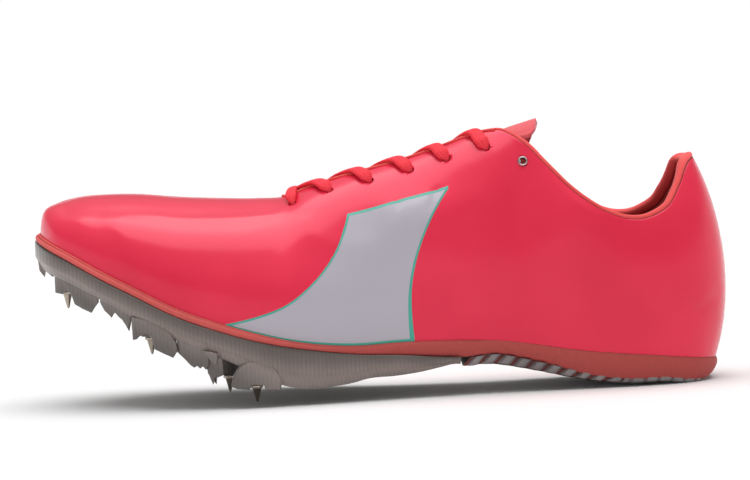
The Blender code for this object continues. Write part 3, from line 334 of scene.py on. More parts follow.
def bezier_start(points, share):
    """Control points of the first part of a cubic, up to that share."""
    a, b, c, d = points
    ab, bc, cd = a.lerp(b, share), b.lerp(c, share), c.lerp(d, share)
    abc, bcd = ab.lerp(bc, share), bc.lerp(cd, share)
    return [a, ab, abc, abc.lerp(bcd, share)]


def halve(low, high, is_low):
    """Place between low and high where is_low turns false."""
    for _ in range(HALVINGS):
        middle = (low + high) / 2
        if is_low(middle):
            low = middle
        else:
            high = middle
    return (low + high) / 2


def place(along):
    return HEEL_BACK - along * LENGTH


def along_at(x):
    return (HEEL_BACK - x) / LENGTH


class Last:
    """Sections run from the heel to the toe; side is -1 for the lateral and 1 for the medial half.

    A place on the wall is a side, a run (metres along the foot line from the heel) and up, from 0 at the
    foot line to 1 at the top edge. Each column of the wall is a cubic between four control points.
    """

    def __init__(self):
        self.count = len(FOOT_LINE)
        feet = {side: self.foot_points(side) for side in (-1, 1)}
        self.steps = [
            sum((feet[side][i + 1] - feet[side][i]).length for side in (-1, 1)) / 2
            for i in range(self.count - 1)
        ]
        self.rows = [0.0]
        for step in self.steps:
            self.rows.append(self.rows[-1] + step)
        self.front = self.rows[THROAT_FRONT_ROW]
        self.total = self.rows[-1]
        self.foot = feet[-1] + feet[1][-2:0:-1]
        self.widths = self.steps + self.steps[::-1]
        self.cut = [[], [], [], []]
        self.whole = [[], [], [], []]
        for i in range(len(self.foot)):
            side = -1 if i < self.count else 1
            row = i if side < 0 else len(self.foot) - i
            self.add_column(i, row, side)
        self.columns = {}

    def foot_points(self, side):
        return [
            Vector((
                place(row.along),
                side * (row.lateral if side < 0 else row.medial) * BALL_WIDTH,
                row.height * TOE_SPRING,
            ))
            for row in FOOT_LINE
        ]

    def add_column(self, i, row, side):
        wall, spot, foot = WALL_SHAPE[row], TOP_LINE[row], self.foot[i]
        step = self.foot[(i + 1) % len(self.foot)] - self.foot[i - 1]
        out = Vector((-step.y, step.x, 0)).normalized()
        rise = spot.heel * HEEL_RISE + spot.instep * INSTEP_RISE
        ridge_rise = spot.ridge * INSTEP_RISE
        edge = Vector((place(spot.along), (spot.centre + side * spot.half) * BALL_WIDTH, foot.z + rise))
        ridge = Vector((place(spot.along), spot.centre * BALL_WIDTH, foot.z + ridge_rise))

        def lower(height):
            return foot + out * (wall.swell * BALL_WIDTH) + Vector((0, 0, wall.rise * height))

        turn = smoothstep(*LEAN_TURN, spot.along)
        level = (out * (1 - turn) + Vector((0, side * turn, 0))).normalized()
        crown = Vector((0, side * wall.crown * abs(foot.y - ridge.y), 0))
        whole = [foot, lower(ridge_rise), ridge + crown, ridge]
        if row < THROAT_TOP_ROW:
            handle = edge + level * (wall.lean * BALL_WIDTH) - Vector((0, 0, wall.fall * rise))
            cut = [foot, lower(rise), handle, edge]
            if not spot.ridge:
                whole = cut
        elif row <= THROAT_FRONT_ROW:
            cut = bezier_start(whole, self.share_at(whole, side, spot.half * BALL_WIDTH))
        else:
            cut = whole
        for curve, point in zip(self.whole, whole):
            curve.append(point)
        for curve, point in zip(self.cut, cut):
            curve.append(point)

    def share_at(self, points, side, half):
        """Share of a whole column at which it comes within half of its ridge."""
        return halve(0.0, 1.0, lambda share: side * (bezier(points, share).y - points[3].y) > half)

    def control(self, curve, side, run):
        """Point of a closed control curve."""
        run = min(max(run, 0.0), self.total)
        last = self.count - 2
        i = next((k for k in range(last) if run <= self.rows[k + 1]), last)
        share = (run - self.rows[i]) / self.steps[i]
        if side > 0:
            i, share = 2 * last + 1 - i, 1 - share
        around = len(curve)

        def slope(k):
            before, after = self.widths[(k - 1) % around], self.widths[k % around]
            back = (curve[k % around] - curve[(k - 1) % around]) / before
            ahead = (curve[(k + 1) % around] - curve[k % around]) / after
            return (back * after + ahead * before) / (before + after)

        p, q = curve[i % around], curve[(i + 1) % around]
        return hermite(p, q, slope(i), slope(i + 1), self.widths[i], share)

    def opening(self, run):
        """Half width of the throat, round at its front end."""
        along = self.top_along(run)
        half = read_table(TOP_LINE, "along", along, "half") * BALL_WIDTH
        left = min(1.0, (self.front - run) / THROAT_END)
        return half * round_end(left)

    def top_along(self, run):
        """Share of the length at which this column's top lies."""
        i = next((k for k in range(self.count - 2) if run <= self.rows[k + 1]), self.count - 2)
        share = (run - self.rows[i]) / self.steps[i]
        return TOP_LINE[i].along * (1 - share) + TOP_LINE[i + 1].along * share

    def closed_column(self, side, run):
        """Control points up to the ridge, as if the throat weren't cut."""
        key = (side, round(run, 7), "closed")
        if key not in self.columns:
            self.columns[key] = [self.control(curve, side, run) for curve in self.whole]
        return self.columns[key]

    def column(self, side, run):
        """Control points from the foot line to the top edge."""
        key = (side, round(run, 7))
        if key not in self.columns:
            if run < self.rows[THROAT_TOP_ROW]:
                points = [self.control(curve, side, run) for curve in self.cut]
            else:
                points = self.closed_column(side, run)
                if run < self.front - WELD:
                    points = bezier_start(points, self.share_at(points, side, self.opening(run)))
            self.columns[key] = points
        return self.columns[key]

    def point(self, side, run, up, closed=False):
        column = self.closed_column if closed else self.column
        return bezier(column(side, run), up)

    def outward(self, side, run, up, closed=False):
        """Unit normal of the wall, away from the foot."""
        low_up, high_up = max(up - PROBE_UP, 0.0), min(up + PROBE_UP, 1.0)
        low_run, high_run = max(run - PROBE_RUN, 0.0), min(run + PROBE_RUN, self.total - PROBE_RUN)
        if closed and up > 1 - PROBE_UP:
            rise = self.point(-side, run, high_up - PROBE_UP, True) - self.point(side, run, low_up, True)
        else:
            rise = self.point(side, run, high_up, closed) - self.point(side, run, low_up, closed)
        ahead = self.point(side, high_run, up, closed) - self.point(side, low_run, up, closed)
        normal = ahead.cross(rise) if side > 0 else rise.cross(ahead)
        return normal.normalized()

    def beside(self, side, run, up, distance, closed=False):
        """Point at that distance outside the wall, or inside it where the distance is negative."""
        return self.point(side, run, up, closed) + self.outward(side, run, up, closed) * distance

    def below_edge(self, side, run, distance):
        """Up value at that distance down the wall from the top edge."""
        points = self.column(side, run)

        def is_low(up):
            stops = [bezier(points, up + (1 - up) * k / LENGTH_STEPS) for k in range(LENGTH_STEPS + 1)]
            return sum((b - a).length for a, b in zip(stops, stops[1:])) > distance

        return halve(0.0, 1.0, is_low)

    def run_of_edge(self, side, along):
        """Run of the column whose top edge lies at this share of the length."""
        return halve(0.0, self.total, lambda run: self.column(side, run)[3].x > place(along))

    def run_at(self, along):
        """Run at which the foot line passes this share of the length."""
        return halve(0.0, self.total, lambda run: self.control(self.foot, -1, run).x > place(along))

    def along(self, run):
        return along_at(self.control(self.foot, -1, run).x)

    def edge(self, side, run, outset):
        """Foot line, moved outwards in plan."""
        here = self.control(self.foot, side, run)
        ahead, behind = run + PROBE_RUN / 4, run - PROBE_RUN / 4
        turned = 2 * self.total - ahead
        after = self.control(self.foot, *((side, ahead) if ahead <= self.total else (-side, turned)))
        before = self.control(self.foot, *((side, behind) if behind >= 0 else (-side, -behind)))
        step = after - before
        return here + Vector((step.y, -step.x, 0)).normalized() * (side * outset)

    def runs(self, step, start=0.0, end=None):
        """Places along the foot line that meet every section row."""
        end = self.total if end is None else end
        found = [start]
        for low, high in zip(self.rows, self.rows[1:]):
            low, high = max(low, start), min(high, end)
            if high - low > WELD:
                pieces = max(1, round((high - low) / step))
                found += [low + (high - low) * (k + 1) / pieces for k in range(pieces)]
        return found


def smooth_path(points, steps):
    """Points of a smooth curve through the given ones."""
    found = []
    last = len(points) - 2
    for i in range(last + 1):
        def slope(k):
            return (points[min(k + 1, last + 1)] - points[max(k - 1, 0)]) / 2

        for k in range(steps):
            found.append(hermite(points[i], points[i + 1], slope(i), slope(i + 1), 1.0, k / steps))
    return found + [points[-1]]


Side = namedtuple("Side", "outset down")


def sole_ring(last, run, sides, top, bottom, across, slant=0.0):
    """Ring of a sole layer. sides: its edge from top to bottom, down being the share of the way.

    slant moves the lower points along the run, which leans what stands out from the edge.
    """
    along = last.along(run)

    def level(side_row, height, behind):
        lateral = last.edge(-1, run + behind, side_row.outset)
        medial = last.edge(1, run + behind, side_row.outset)
        spots = [lateral.lerp(medial, k / across) for k in range(across + 1)]
        return [
            Vector((spot.x, spot.y, height(last.along(run + behind), 2 * k / across - 1)))
            for k, spot in enumerate(spots)
        ]

    def flank(side):
        found = []
        for row in sides[1:-1]:
            spot = last.edge(side, run + slant * row.down, row.outset)
            high, low = top(along, side), bottom(along, side)
            found.append(Vector((spot.x, spot.y, high + (low - high) * row.down)))
        return found

    return (
        level(sides[0], top, 0.0)
        + flank(1)
        + level(sides[-1], bottom, slant)[::-1]
        + flank(-1)[::-1]
    )


# Heights of the sole's layers, from the foot line down


class Sole:
    def __init__(self, last):
        self.last = last
        self.heights = {}

    def foot_height(self, along):
        key = round(along, 6)
        if key not in self.heights:
            self.heights[key] = self.last.control(self.last.foot, -1, self.last.run_at(along)).z
        return self.heights[key]

    def footbed(self, along, share):
        """Top of the midsole: level at the rim, dished in the middle."""
        ends = smoothstep(*DISH_START, along) * (1 - smoothstep(*DISH_END, along))
        dip = DISH * ends * (self.foot_height(along) - self.midsole_bottom(along))
        return self.foot_height(along) - GAP - dip * (1 - share**4)

    def insole_bottom(self, along, share):
        return self.footbed(along, share) + GAP

    def insole_top(self, along, share):
        return self.insole_bottom(along, share) + INSOLE_THICKNESS

    def midsole_bottom(self, along, share=0.0):
        """Underside of the midsole, which turns up at the edge under arch and heel."""
        depth = HEEL_STACK * read_table(MIDSOLE_DEPTH, "along", along, "share")
        lifted = smoothstep(*EDGE_LIFT_START, along) * (1 - smoothstep(*EDGE_LIFT_FADE, along))
        turn_up = EDGE_LIFT * lifted * share**4
        return self.foot_height(along) - depth + turn_up

    def under_midsole(self, along, share=0.0):
        return self.midsole_bottom(along, share) - GAP

    def tread_top(self, along, share=0.0):
        return self.midsole_bottom(along, share) - TREAD_SEAM

    def tread_bottom(self, along, share=0.0):
        """Underside of the tread, flat on the floor under the heel."""
        thickness = TREAD_THICKNESS + TREAD_ARCH * smoothstep(RIBS_BACK, TREAD_FRONT, along)
        return max(0.0, self.tread_top(along, share) - thickness)

    def skirt(self, along):
        """Lower edge of the plate's side."""
        return self.under_midsole(along) - PLATE_DEPTH * read_table(SKIRT_DEPTH, "along", along, "share")

    def plate_bottom(self, along, share):
        """Underside of the plate: down to the skirt's edge at the sides, a raised web in the middle."""
        web = self.under_midsole(along) - PLATE_WEB
        return web + (min(self.skirt(along), web) - web) * smoothstep(*PLATE_HOLLOW, abs(share))

    def spot(self, along, across):
        """Plan position at a share of the half width, on the lateral side if that is negative."""
        side = -1 if across < 0 else 1
        run = self.last.run_at(along)
        sides = [self.last.control(self.last.foot, s, run) for s in (-1, 1)]
        centre = (sides[0].y + sides[1].y) / 2
        end = sides[0] if side < 0 else sides[1]
        return Vector((end.x, centre + (end.y - centre) * abs(across), 0))


def lace_hole(side, along, inset):
    """Place and outward direction of a hole in the eyestay."""
    run = last.run_of_edge(side, along)
    up = last.below_edge(side, run, inset)
    return last.point(side, run, up), last.outward(side, run, up)


def turned_to(direction):
    """Rotation that takes +Z to that direction."""
    return Vector((0, 0, 1)).rotation_difference(direction).to_matrix().to_4x4()


def tongue_depth(along):
    """How far the tongue's outer face lies below the closed instep."""
    return UPPER_WALL + GAP + TONGUE_SLACK + TONGUE_DIP * read_table(TONGUE_LINE, "along", along, "dip")


def rim_outset(along):
    return HEEL_RIM + (RIM - HEEL_RIM) * smoothstep(RIM_START, RIM_FULL, along)


# Fineness of the film, and where on the wall the padding of its lining starts
FINE_STEP = 0.0016
FINE_ROWS = 54
FINE_END_COLUMNS = 9
LINING_RUN = (0.46, 0.80)
RIM_STEPS = 4

# Collar roll. Pairs: where its medial side swells, in metres, and where it thins, shares of its own run
ROLL_SIDES = 20
ROLL_FRONT_SHARE = 0.66
ROLL_END_TAPER = 0.012
ROLL_MEDIAL_SWELL = 0.8
ROLL_SWELL_RISE = (0.006, 0.020)
ROLL_SWELL_FALL = (0.034, 0.074)
ROLL_THIN = (0.35, 0.62)
ROLL_SQUARE = 0.8

# Folds, holes, seams and edges of the film. BEAD_START and TREAD_COVER: shares of LENGTH
FOLD_DEPTH = 1.7
FOLD_REACH = 3.0
FOLD_FOOT = 0.006
FOLD_END = (0.94, 1.0)
HOLE_SIDES = 28
CORD_SIDES = 10
SEAM_OPEN = 0.0001
RIM_CLOSE = 0.8
RIM_POWER = 8
PIPING_HALF = 0.00065
PIPING_PROUD = 0.2
BEAD_HALF = 0.0005
BEAD_START = (0.36, 0.50)
TREAD_COVER = (0.19, 0.29)
TREAD_COVERED = 0.62
TREAD_INSET = 0.0008

# Tongue. TONGUE_EDGES: into how many widths of its edge each half is divided, which STITCH_PLACE counts
TONGUE_FINE = 22
TAB_TIP = 0.72
TAB_STEPS = 9
TONGUE_EDGES = 9
STITCH_DEPTH = 0.0002
STITCH_PLACE = 1.6
STITCH_HALF = 0.5

# Fineness of the sole's layers
SOLE_STEP = 0.0020
SOLE_ACROSS = 26

# Sides of the plate and the tread from top to bottom. down: share of the way. Before it the plate's rows have
# how far back the side is, shares of PLATE_RIM and SKIRT_TUCK, and the tread's have the same in metres.
PLATE_SIDE = (
    (0.8, 0, 0), (0.2, 0, 0.03), (0, 0, 0.07), (0, 0, 0.25), (0, 0, 0.45), (0, 0, 0.58), (0.3, 0, 0.61),
    (1, 0, 0.63), (1, 0.3, 0.741), (1, 0.7, 0.889), (1, 0.9, 0.963), (1, 1.2, 1),
)
TREAD_SIDE = ((0.0003, 0), (0, 0.08), (0, 0.5), (0.0001, 0.8), (0.0004, 0.94), (0.0010, 1))

# Ribs and notches of the tread, shares of one rib's pitch
RIB_COUNT = 10
RIB_SAMPLES = 12
RIB_FRONT = (0.0, 0.18)
RIB_REAR = (0.56, 0.74)
NOTCH_FLOOR = 0.25
NOTCH_HALF = 0.4

# Lugs, the pins' seats and the fine ribs between them. LUG_PROFILE: share of a lug's width, and share of
# LUG_EASE by which its rim is eased there. WEB_RIBS: ends as shares of LENGTH and of the plate's half width.
LUG_PLAN_END = 0.985
LUG_LEVELS = 10
LUG_SIDES = 36
LUG_DRAW = 0.10
LUG_ROUND = 0.12
LUG_SQUARE = (0.35, 0.45)
BOSS_EASE = 0.0008
LUG_EASE = 0.0006
LUG_ROOT_BACK = 0.002
LUG_PROFILE = ((0.0, 1.0), (0.04, 0.45), (0.09, 0.15), (0.16, 0.0), (0.86, 0.0), (1.0, 1.0))
WEB_RIB_HALF = 0.0008
WEB_RIB_RISE = 0.0009
WEB_RIBS = (
    ((0.93, -0.50), (0.905, 0.45)),
    ((0.90, 0.45), (0.845, 0.0)),
    ((0.843, 0.0), (0.795, 0.50)),
    ((0.843, -0.05), (0.760, -0.05)),
    ((0.760, -0.05), (0.70, -0.30)),
    ((0.760, -0.05), (0.73, 0.50)),
    ((0.68, -0.30), (0.52, -0.30)),
    ((0.68, 0.30), (0.52, 0.30)),
)

# Lace strands. THIN, TURN, NARROW and WIDEN: from and to which share of its way a strand does so
STRAP_SIDES = 22
STRAP_STEPS = 8
STRAP_SQUARE = (0.75, 0.85)
OVER_LIFT = 0.66
UNDER_LIFT = -0.05
STRAND_REACH = 1.30
STRAND_SWELL = 1.18
STRAND_AHEAD = 0.0009
STRAND_ROOT = 0.48
STRAND_FLATTEN = 0.22
STRAND_THIN = (0.42, 0.70)
STRAND_TURN = (0.3, 0.8)
STRAND_NARROW = (0.45, 0.75)
STRAND_WIDEN = (0.10, 0.30)
STRAND_INSIDE = 0.0012
STRAND_IN_HOLE = 0.0002
STRAND_BEND = (0.0013, 0.0034)
BAR_TURN = (0.2, 0.8)
BAR_WIDEN = (0.08, 0.24)

# Ring, and the pitch of fine ribs and yarns
RING_REACH = 0.0020
PLATE_RIB_PITCH = 0.0016
BRAID_PITCH = 0.0008
BRAID_SLOPE = 1.0
FOAM_RIB_PITCH = 0.0013

# Side panel: back and front at its foot and top, its height up the wall and how hollow its edges are
SADDLE_FOOT = (0.455, 0.725)
SADDLE_TOP = (0.405, 0.545)
SADDLE_UP = (0.0, 0.58)
SADDLE_HOLLOW = (0.022, 0.045)
SADDLE_EDGING = 0.026
SADDLE_RISE = 0.00012
SADDLE_FINE = 40
SADDLE_EASE = 0.012

# Camera: where it looks, how far off, its angle above the horizon and its roll in degrees. In the photo's
# 750 pixels the shoe is about 690 long, which gives the width of the frame at the shoe.
CAMERA_TARGET = (-0.1088, 0.0, 0.0616)
CAMERA_DISTANCE = 1.100
CAMERA_ELEVATION = 2.6
CAMERA_ROLL = 2.68
PHOTO_PIXELS = 750
SHOE_PIXELS = 690
FRAME_WIDTH = PHOTO_PIXELS * LENGTH / SHOE_PIXELS
SENSOR_WIDTH = 36.0
FLOOR_HALF = 6.0
FLOOR_CLEAR = 0.0001

# Light from the sky: sine of the height above the horizon, and how bright it is there
SKY_STRENGTH = 4.0
SKY = (
    (0.0, 0.255), (0.16, 0.235), (0.32, 0.070), (0.44, 0.060),
    (0.60, 0.11), (0.84, 0.18), (0.91, 1.0), (1.0, 1.0),
)

last = Last()
sole = Sole(last)


# Meshes


def keep(name, work, *materials, smooth=38):
    """Makes a bmesh an object with these materials, shaded smooth up to that angle."""
    bmesh.ops.remove_doubles(work, verts=work.verts, dist=WELD)
    bmesh.ops.dissolve_degenerate(work, edges=work.edges, dist=WELD / 4)
    bmesh.ops.recalc_face_normals(work, faces=work.faces)
    mesh = bpy.data.meshes.new(name)
    work.to_mesh(mesh)
    work.free()
    mesh.shade_smooth()
    mesh.set_sharp_from_angle(angle=math.radians(smooth))
    made = bpy.data.objects.new(name, mesh)
    bpy.context.scene.collection.objects.link(made)
    for material in materials:
        mesh.materials.append(material)
    return made


def settle(made):
    """Replaces a piece's mesh by what its modifiers make of it."""
    mesh = bpy.data.meshes.new_from_object(made.evaluated_get(bpy.context.evaluated_depsgraph_get()))
    made.modifiers.clear()
    made.data = mesh


def place_piece(made, slot_name, *nodes):
    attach(made, "root")
    if nodes:
        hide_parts(*nodes)
    return made


def skin(work, grid, loop=False):
    """Faces between neighbouring lists of points. Gives the vertices back in the same lists."""
    made = [[work.verts.new(point) for point in column] for column in grid]
    for near, far in zip(made, made[1:]):
        count = len(near)
        for k in range(count if loop else count - 1):
            work.faces.new((near[k], far[k], far[(k + 1) % count], near[(k + 1) % count]))
    return made


def capped_skin(work, rings, turned=False):
    """Skin round closed rings with a face at each end."""
    loops = skin(work, rings, True)
    work.faces.new(loops[0][::-1] if turned else loops[0])
    work.faces.new(loops[-1] if turned else loops[-1][::-1])
    return loops


def heading(path, k):
    """Direction of a path at its point k."""
    return (path[min(k + 1, len(path) - 1)] - path[max(k - 1, 0)]).normalized()


def squared(value, power):
    """A sine or cosine that turns a circle into a squarer ring, the more so the smaller the power."""
    return math.copysign(abs(value) ** power, value)


def round_heel(runs):
    """Stops down the lateral side to the heel and up the medial side."""
    return [(-1, run) for run in runs[::-1]] + [(1, run) for run in runs[1:]]


def round_front(runs):
    """Stops along the lateral side, round the front end and back along the medial side."""
    return [(-1, run) for run in runs] + [(1, run) for run in runs[-2::-1]]


def rings_to_mesh(rings, marks=()):
    """Closed bmesh through rings with the same number of points.

    marks: name of a number the materials read, and a list of its values for each ring.
    """
    work = bmesh.new()
    for name, values in marks:
        work.verts.layers.float.new(name)
    loops = capped_skin(work, rings)
    for name, values in marks:
        layer = work.verts.layers.float[name]
        for ring, row in zip(loops, values):
            for vertex, value in zip(ring, row):
                vertex[layer] = value
    return work


def thicken(work, depth, rounding, inner_slot, rim_slot):
    """Gives an open skin a wall inwards. rounding: how far its rim bulges at a vertex."""
    work.normal_update()
    outer = list(work.verts)
    normals = {v: v.normal.copy() for v in outer}
    inner = {v: work.verts.new(v.co - normals[v] * depth(v)) for v in outer}
    faces = list(work.faces)
    edges = [edge for edge in work.edges if len(edge.link_faces) == 1]
    away = {}
    for edge in edges:
        face = edge.link_faces[0]
        a, b = edge.verts
        across = (b.co - a.co).cross(face.normal).normalized()
        if across.dot(face.calc_center_median() - a.co) > 0:
            across.negate()
        for v in (a, b):
            away[v] = away.get(v, Vector()) + across
    for face in faces:
        made = work.faces.new([inner[v] for v in reversed(face.verts)])
        made.material_index = inner_slot
    arcs = {}
    for v, across in away.items():
        middle = (v.co + inner[v].co) / 2
        radius = v.co - middle
        reach = across.normalized() * rounding(v)
        turns = [math.pi * k / RIM_STEPS for k in range(1, RIM_STEPS)]
        arcs[v] = [v] + [
            work.verts.new(middle + radius * math.cos(turn) + reach * math.sin(turn)) for turn in turns
        ] + [inner[v]]
    for edge in edges:
        a, b = edge.verts
        for k in range(RIM_STEPS):
            made = work.faces.new((arcs[a][k], arcs[b][k], arcs[b][k + 1], arcs[a][k + 1]))
            made.material_index = rim_slot


# Upper


def fine_runs(start=0.0, end=None):
    """Places along the foot line, closer together at the round front end of the throat."""
    runs = [run for run in last.runs(FINE_STEP, start, end) if not 0 < last.front - run < THROAT_END]
    for k in range(1, FINE_END_COLUMNS + 1):
        runs.append(last.front - THROAT_END * (1 - math.cos(math.pi / 2 * k / FINE_END_COLUMNS)))
    return sorted(runs)


# Soft troughs and ridges of the film. from and to: place as a share of LENGTH and height
# above the foot line as a share of INSTEP_RISE. half and height: half width and height, metres; a trough's
# height is below zero.
Fold = namedtuple("Fold", "side from_along from_up to_along to_up half height")
FOLDS = [Fold(*row) for row in (
    (-1, 0.018, 0.3, 0.06, 0.2, 0.0016, -0.00022), (-1, 0.3, 0.4, 0.22, 0.66, 0.01, 0.00045),
    (-1, 0.33, 0.24, 0.46, 0.62, 0.012, 0.0005), (-1, 0.46, 0.26, 0.62, 0.48, 0.011, -0.0005),
    (-1, 0.52, 0.56, 0.62, 0.48, 0.008, -0.0004), (-1, 0.6, 0.52, 0.86, 0.25, 0.007, 0.0005),
    (-1, 0.6, 0.6, 0.86, 0.33, 0.0035, -0.0003), (-1, 0.66, 0.24, 0.84, 0.12, 0.008, 0.00035),
    (-1, 0.36, 0.66, 0.47, 0.58, 0.0065, 0.00045), (-1, 0.415, 0.7, 0.425, 0.62, 0.0016, -0.0002),
    (-1, 0.47, 0.64, 0.485, 0.57, 0.0018, -0.00018), (-1, 0.53, 0.6, 0.545, 0.54, 0.0018, -0.00016),
    (-1, 0.12, 0.1, 0.26, 0.2, 0.012, -0.00035), (-1, 0.81, 0.42, 0.95, 0.2, 0.0028, -0.0004),
    (-1, 0.73, 0.51, 0.81, 0.42, 0.0028, -0.0004), (-1, 0.645, 0.61, 0.73, 0.51, 0.0028, -0.0004),
    (1, 0.018, 0.3, 0.06, 0.2, 0.0016, -0.00022), (1, 0.3, 0.36, 0.23, 0.62, 0.01, 0.0004),
    (1, 0.34, 0.22, 0.46, 0.58, 0.012, -0.00045), (1, 0.5, 0.3, 0.62, 0.5, 0.011, 0.00045),
    (1, 0.62, 0.5, 0.84, 0.26, 0.0075, 0.00045), (1, 0.64, 0.24, 0.82, 0.12, 0.008, -0.0003),
    (1, 0.425, 0.69, 0.435, 0.61, 0.0016, -0.0002), (1, 0.5, 0.62, 0.515, 0.55, 0.0018, -0.00018),
)]


def relief(side, spot, foot):
    """How far the film stands out from the plain last: ridges add up, the deepest trough counts."""
    ridges, trough = 0.0, 0.0
    x, z = HEEL_BACK - spot.x, spot.z - foot.z
    for fold in FOLDS:
        if fold.side != side:
            continue
        run_x = (fold.to_along - fold.from_along) * LENGTH
        run_z = (fold.to_up - fold.from_up) * INSTEP_RISE
        off_x, off_z = x - fold.from_along * LENGTH, z - fold.from_up * INSTEP_RISE
        share = (off_x * run_x + off_z * run_z) / (run_x * run_x + run_z * run_z)
        clamped = min(1.0, max(0.0, share))
        off = math.hypot(off_x - run_x * clamped, off_z - run_z * clamped) / fold.half
        if off < FOLD_REACH:
            height = fold.height * math.exp(-off * off)
            ridges += max(0.0, height)
            trough = min(trough, height)
    return FOLD_DEPTH * (ridges + trough) * smoothstep(0.0, FOLD_FOOT, z)


def lining_depth(side, run, up):
    """Thickness of the wall: film and cloth, and padding round the ankle."""
    fullness = 1 - smoothstep(0.0, last.rows[THROAT_TOP_ROW], run)
    return UPPER_WALL + COLLAR_PADDING * fullness * smoothstep(*LINING_RUN, up)


def make_upper(film, lining, seam):
    """Film shell with its wall, lining and rim, and the holes of the lace and the rings."""
    work = bmesh.new()
    columns = round_heel(fine_runs())
    ups = [row / FINE_ROWS for row in range(FINE_ROWS + 1)]
    grid = [[last.point(side, run, up) for up in ups] for side, run in columns]
    where = {}
    for (side, run), points, column in zip(columns, grid, skin(work, grid)):
        for up, vertex in zip(ups, column):
            where[vertex] = (side, run, up, points[0])
    bmesh.ops.remove_doubles(work, verts=work.verts, dist=WELD)
    where = {vertex: spot for vertex, spot in where.items() if vertex.is_valid}
    bmesh.ops.recalc_face_normals(work, faces=work.faces)
    work.normal_update()
    moves = {}
    for vertex, (side, run, up, foot) in where.items():
        moves[vertex] = vertex.normal * relief(side, vertex.co, foot) * (1 - smoothstep(*FOLD_END, up))
    for vertex, move in moves.items():
        vertex.co += move
    thicken(
        work,
        lambda v: lining_depth(*where[v][:3]),
        lambda v: UPPER_WALL / 2 if where[v][2] > 0.5 else 0.0,
        1,
        2,
    )
    made = keep("upper_shell", work, film, lining, seam, smooth=60)
    cut = bmesh.new()
    holes = [(along, LACE_HOLE_RADIUS, LACE_HOLE_INSET) for along in LACE_ROWS]
    holes.append((EYELET_ALONG, EYELET_BORE + EYELET_WALL, EYELET_INSET))
    for side in (-1, 1):
        for along, radius, inset in holes:
            centre, out = lace_hole(side, along, inset)
            bmesh.ops.create_cone(
                cut, cap_ends=True, segments=HOLE_SIDES, radius1=radius, radius2=radius, depth=UPPER_WALL * 5,
                matrix=Matrix.Translation(centre) @ turned_to(out),
            )
    tool = keep("lace_hole_cutter", cut, seam, seam, seam)
    for face in tool.data.polygons:
        face.material_index = 2
    modifier = made.modifiers.new("holes", "BOOLEAN")
    modifier.solver = "EXACT"
    modifier.object = tool
    settle(made)
    bpy.data.objects.remove(tool)
    return place_piece(made, "upper_film", "upper")


def round_rings(path, halves):
    """Rings of a round cord along a path."""
    rings = []
    for k, (spot, half) in enumerate(zip(path, halves)):
        ahead = heading(path, k)
        level = ahead.cross(Vector((0, 0, 1))).normalized()
        up = level.cross(ahead).normalized()
        turns = [2 * math.pi * j / CORD_SIDES for j in range(CORD_SIDES)]
        rings.append([spot + (level * math.cos(turn) + up * math.sin(turn)) * half for turn in turns])
    return rings


def make_piping(tape):
    """Folded edge along the throat, from where the collar roll ends and round its front."""
    start = last.run_of_edge(-1, BINDING_END) - PIPING_HALF * 4
    path = [
        last.point(side, run, 1.0) + last.outward(side, run, 1.0) * PIPING_HALF * PIPING_PROUD
        for side, run in round_front(fine_runs(start, last.front))
    ]
    made = keep("throat_piping", rings_to_mesh(round_rings(path, [PIPING_HALF] * len(path))), tape, smooth=80)
    return place_piece(made, "edge_tape")


# Collar roll, tongue and insole


def make_roll(cloth):
    """Padded roll round the collar: a thin tape at the throat, full at the heel."""
    end = last.run_of_edge(-1, BINDING_END)
    runs = last.runs(FINE_STEP, 0.0, end)
    stops = round_heel(runs)
    edges = [last.point(side, run, 1.0) for side, run in stops]
    rings = []
    for k, (side, run) in enumerate(stops):
        ahead = heading(edges, k)
        out = ahead.cross(edges[k] - last.point(side, run, 0.9)).normalized()
        up = out.cross(ahead).normalized()
        fullness = 1 - smoothstep(0.0, end, run)
        thin = smoothstep(ROLL_THIN[0] * end, ROLL_THIN[1] * end, run)
        taper = min(1.0, math.sqrt(max(0.02, (end - run) / ROLL_END_TAPER)))
        half = (BINDING_WIDTH + COLLAR_PADDING * fullness) / 2 * (0.7 + 0.3 * taper)
        tall = BINDING_HEIGHT / 2 * (1 - (1 - ROLL_FRONT_SHARE) * thin) * (0.5 + 0.5 * taper)
        if side > 0:
            swell = smoothstep(*ROLL_SWELL_RISE, run) * (1 - smoothstep(*ROLL_SWELL_FALL, run))
            tall *= 1 + ROLL_MEDIAL_SWELL * swell
        centre = edges[k] + up * (tall + SEAM_OPEN) - out * (half - GAP)
        turn = 2 * math.pi / ROLL_SIDES
        rings.append([
            centre
            + out * (half * squared(math.cos(turn * j), ROLL_SQUARE))
            + up * (tall * squared(math.sin(turn * j), ROLL_SQUARE))
            for j in range(ROLL_SIDES)
        ])
    made = keep("collar_roll", rings_to_mesh(rings), cloth, smooth=80)
    return place_piece(made, "edge_tape", "collar_binding")


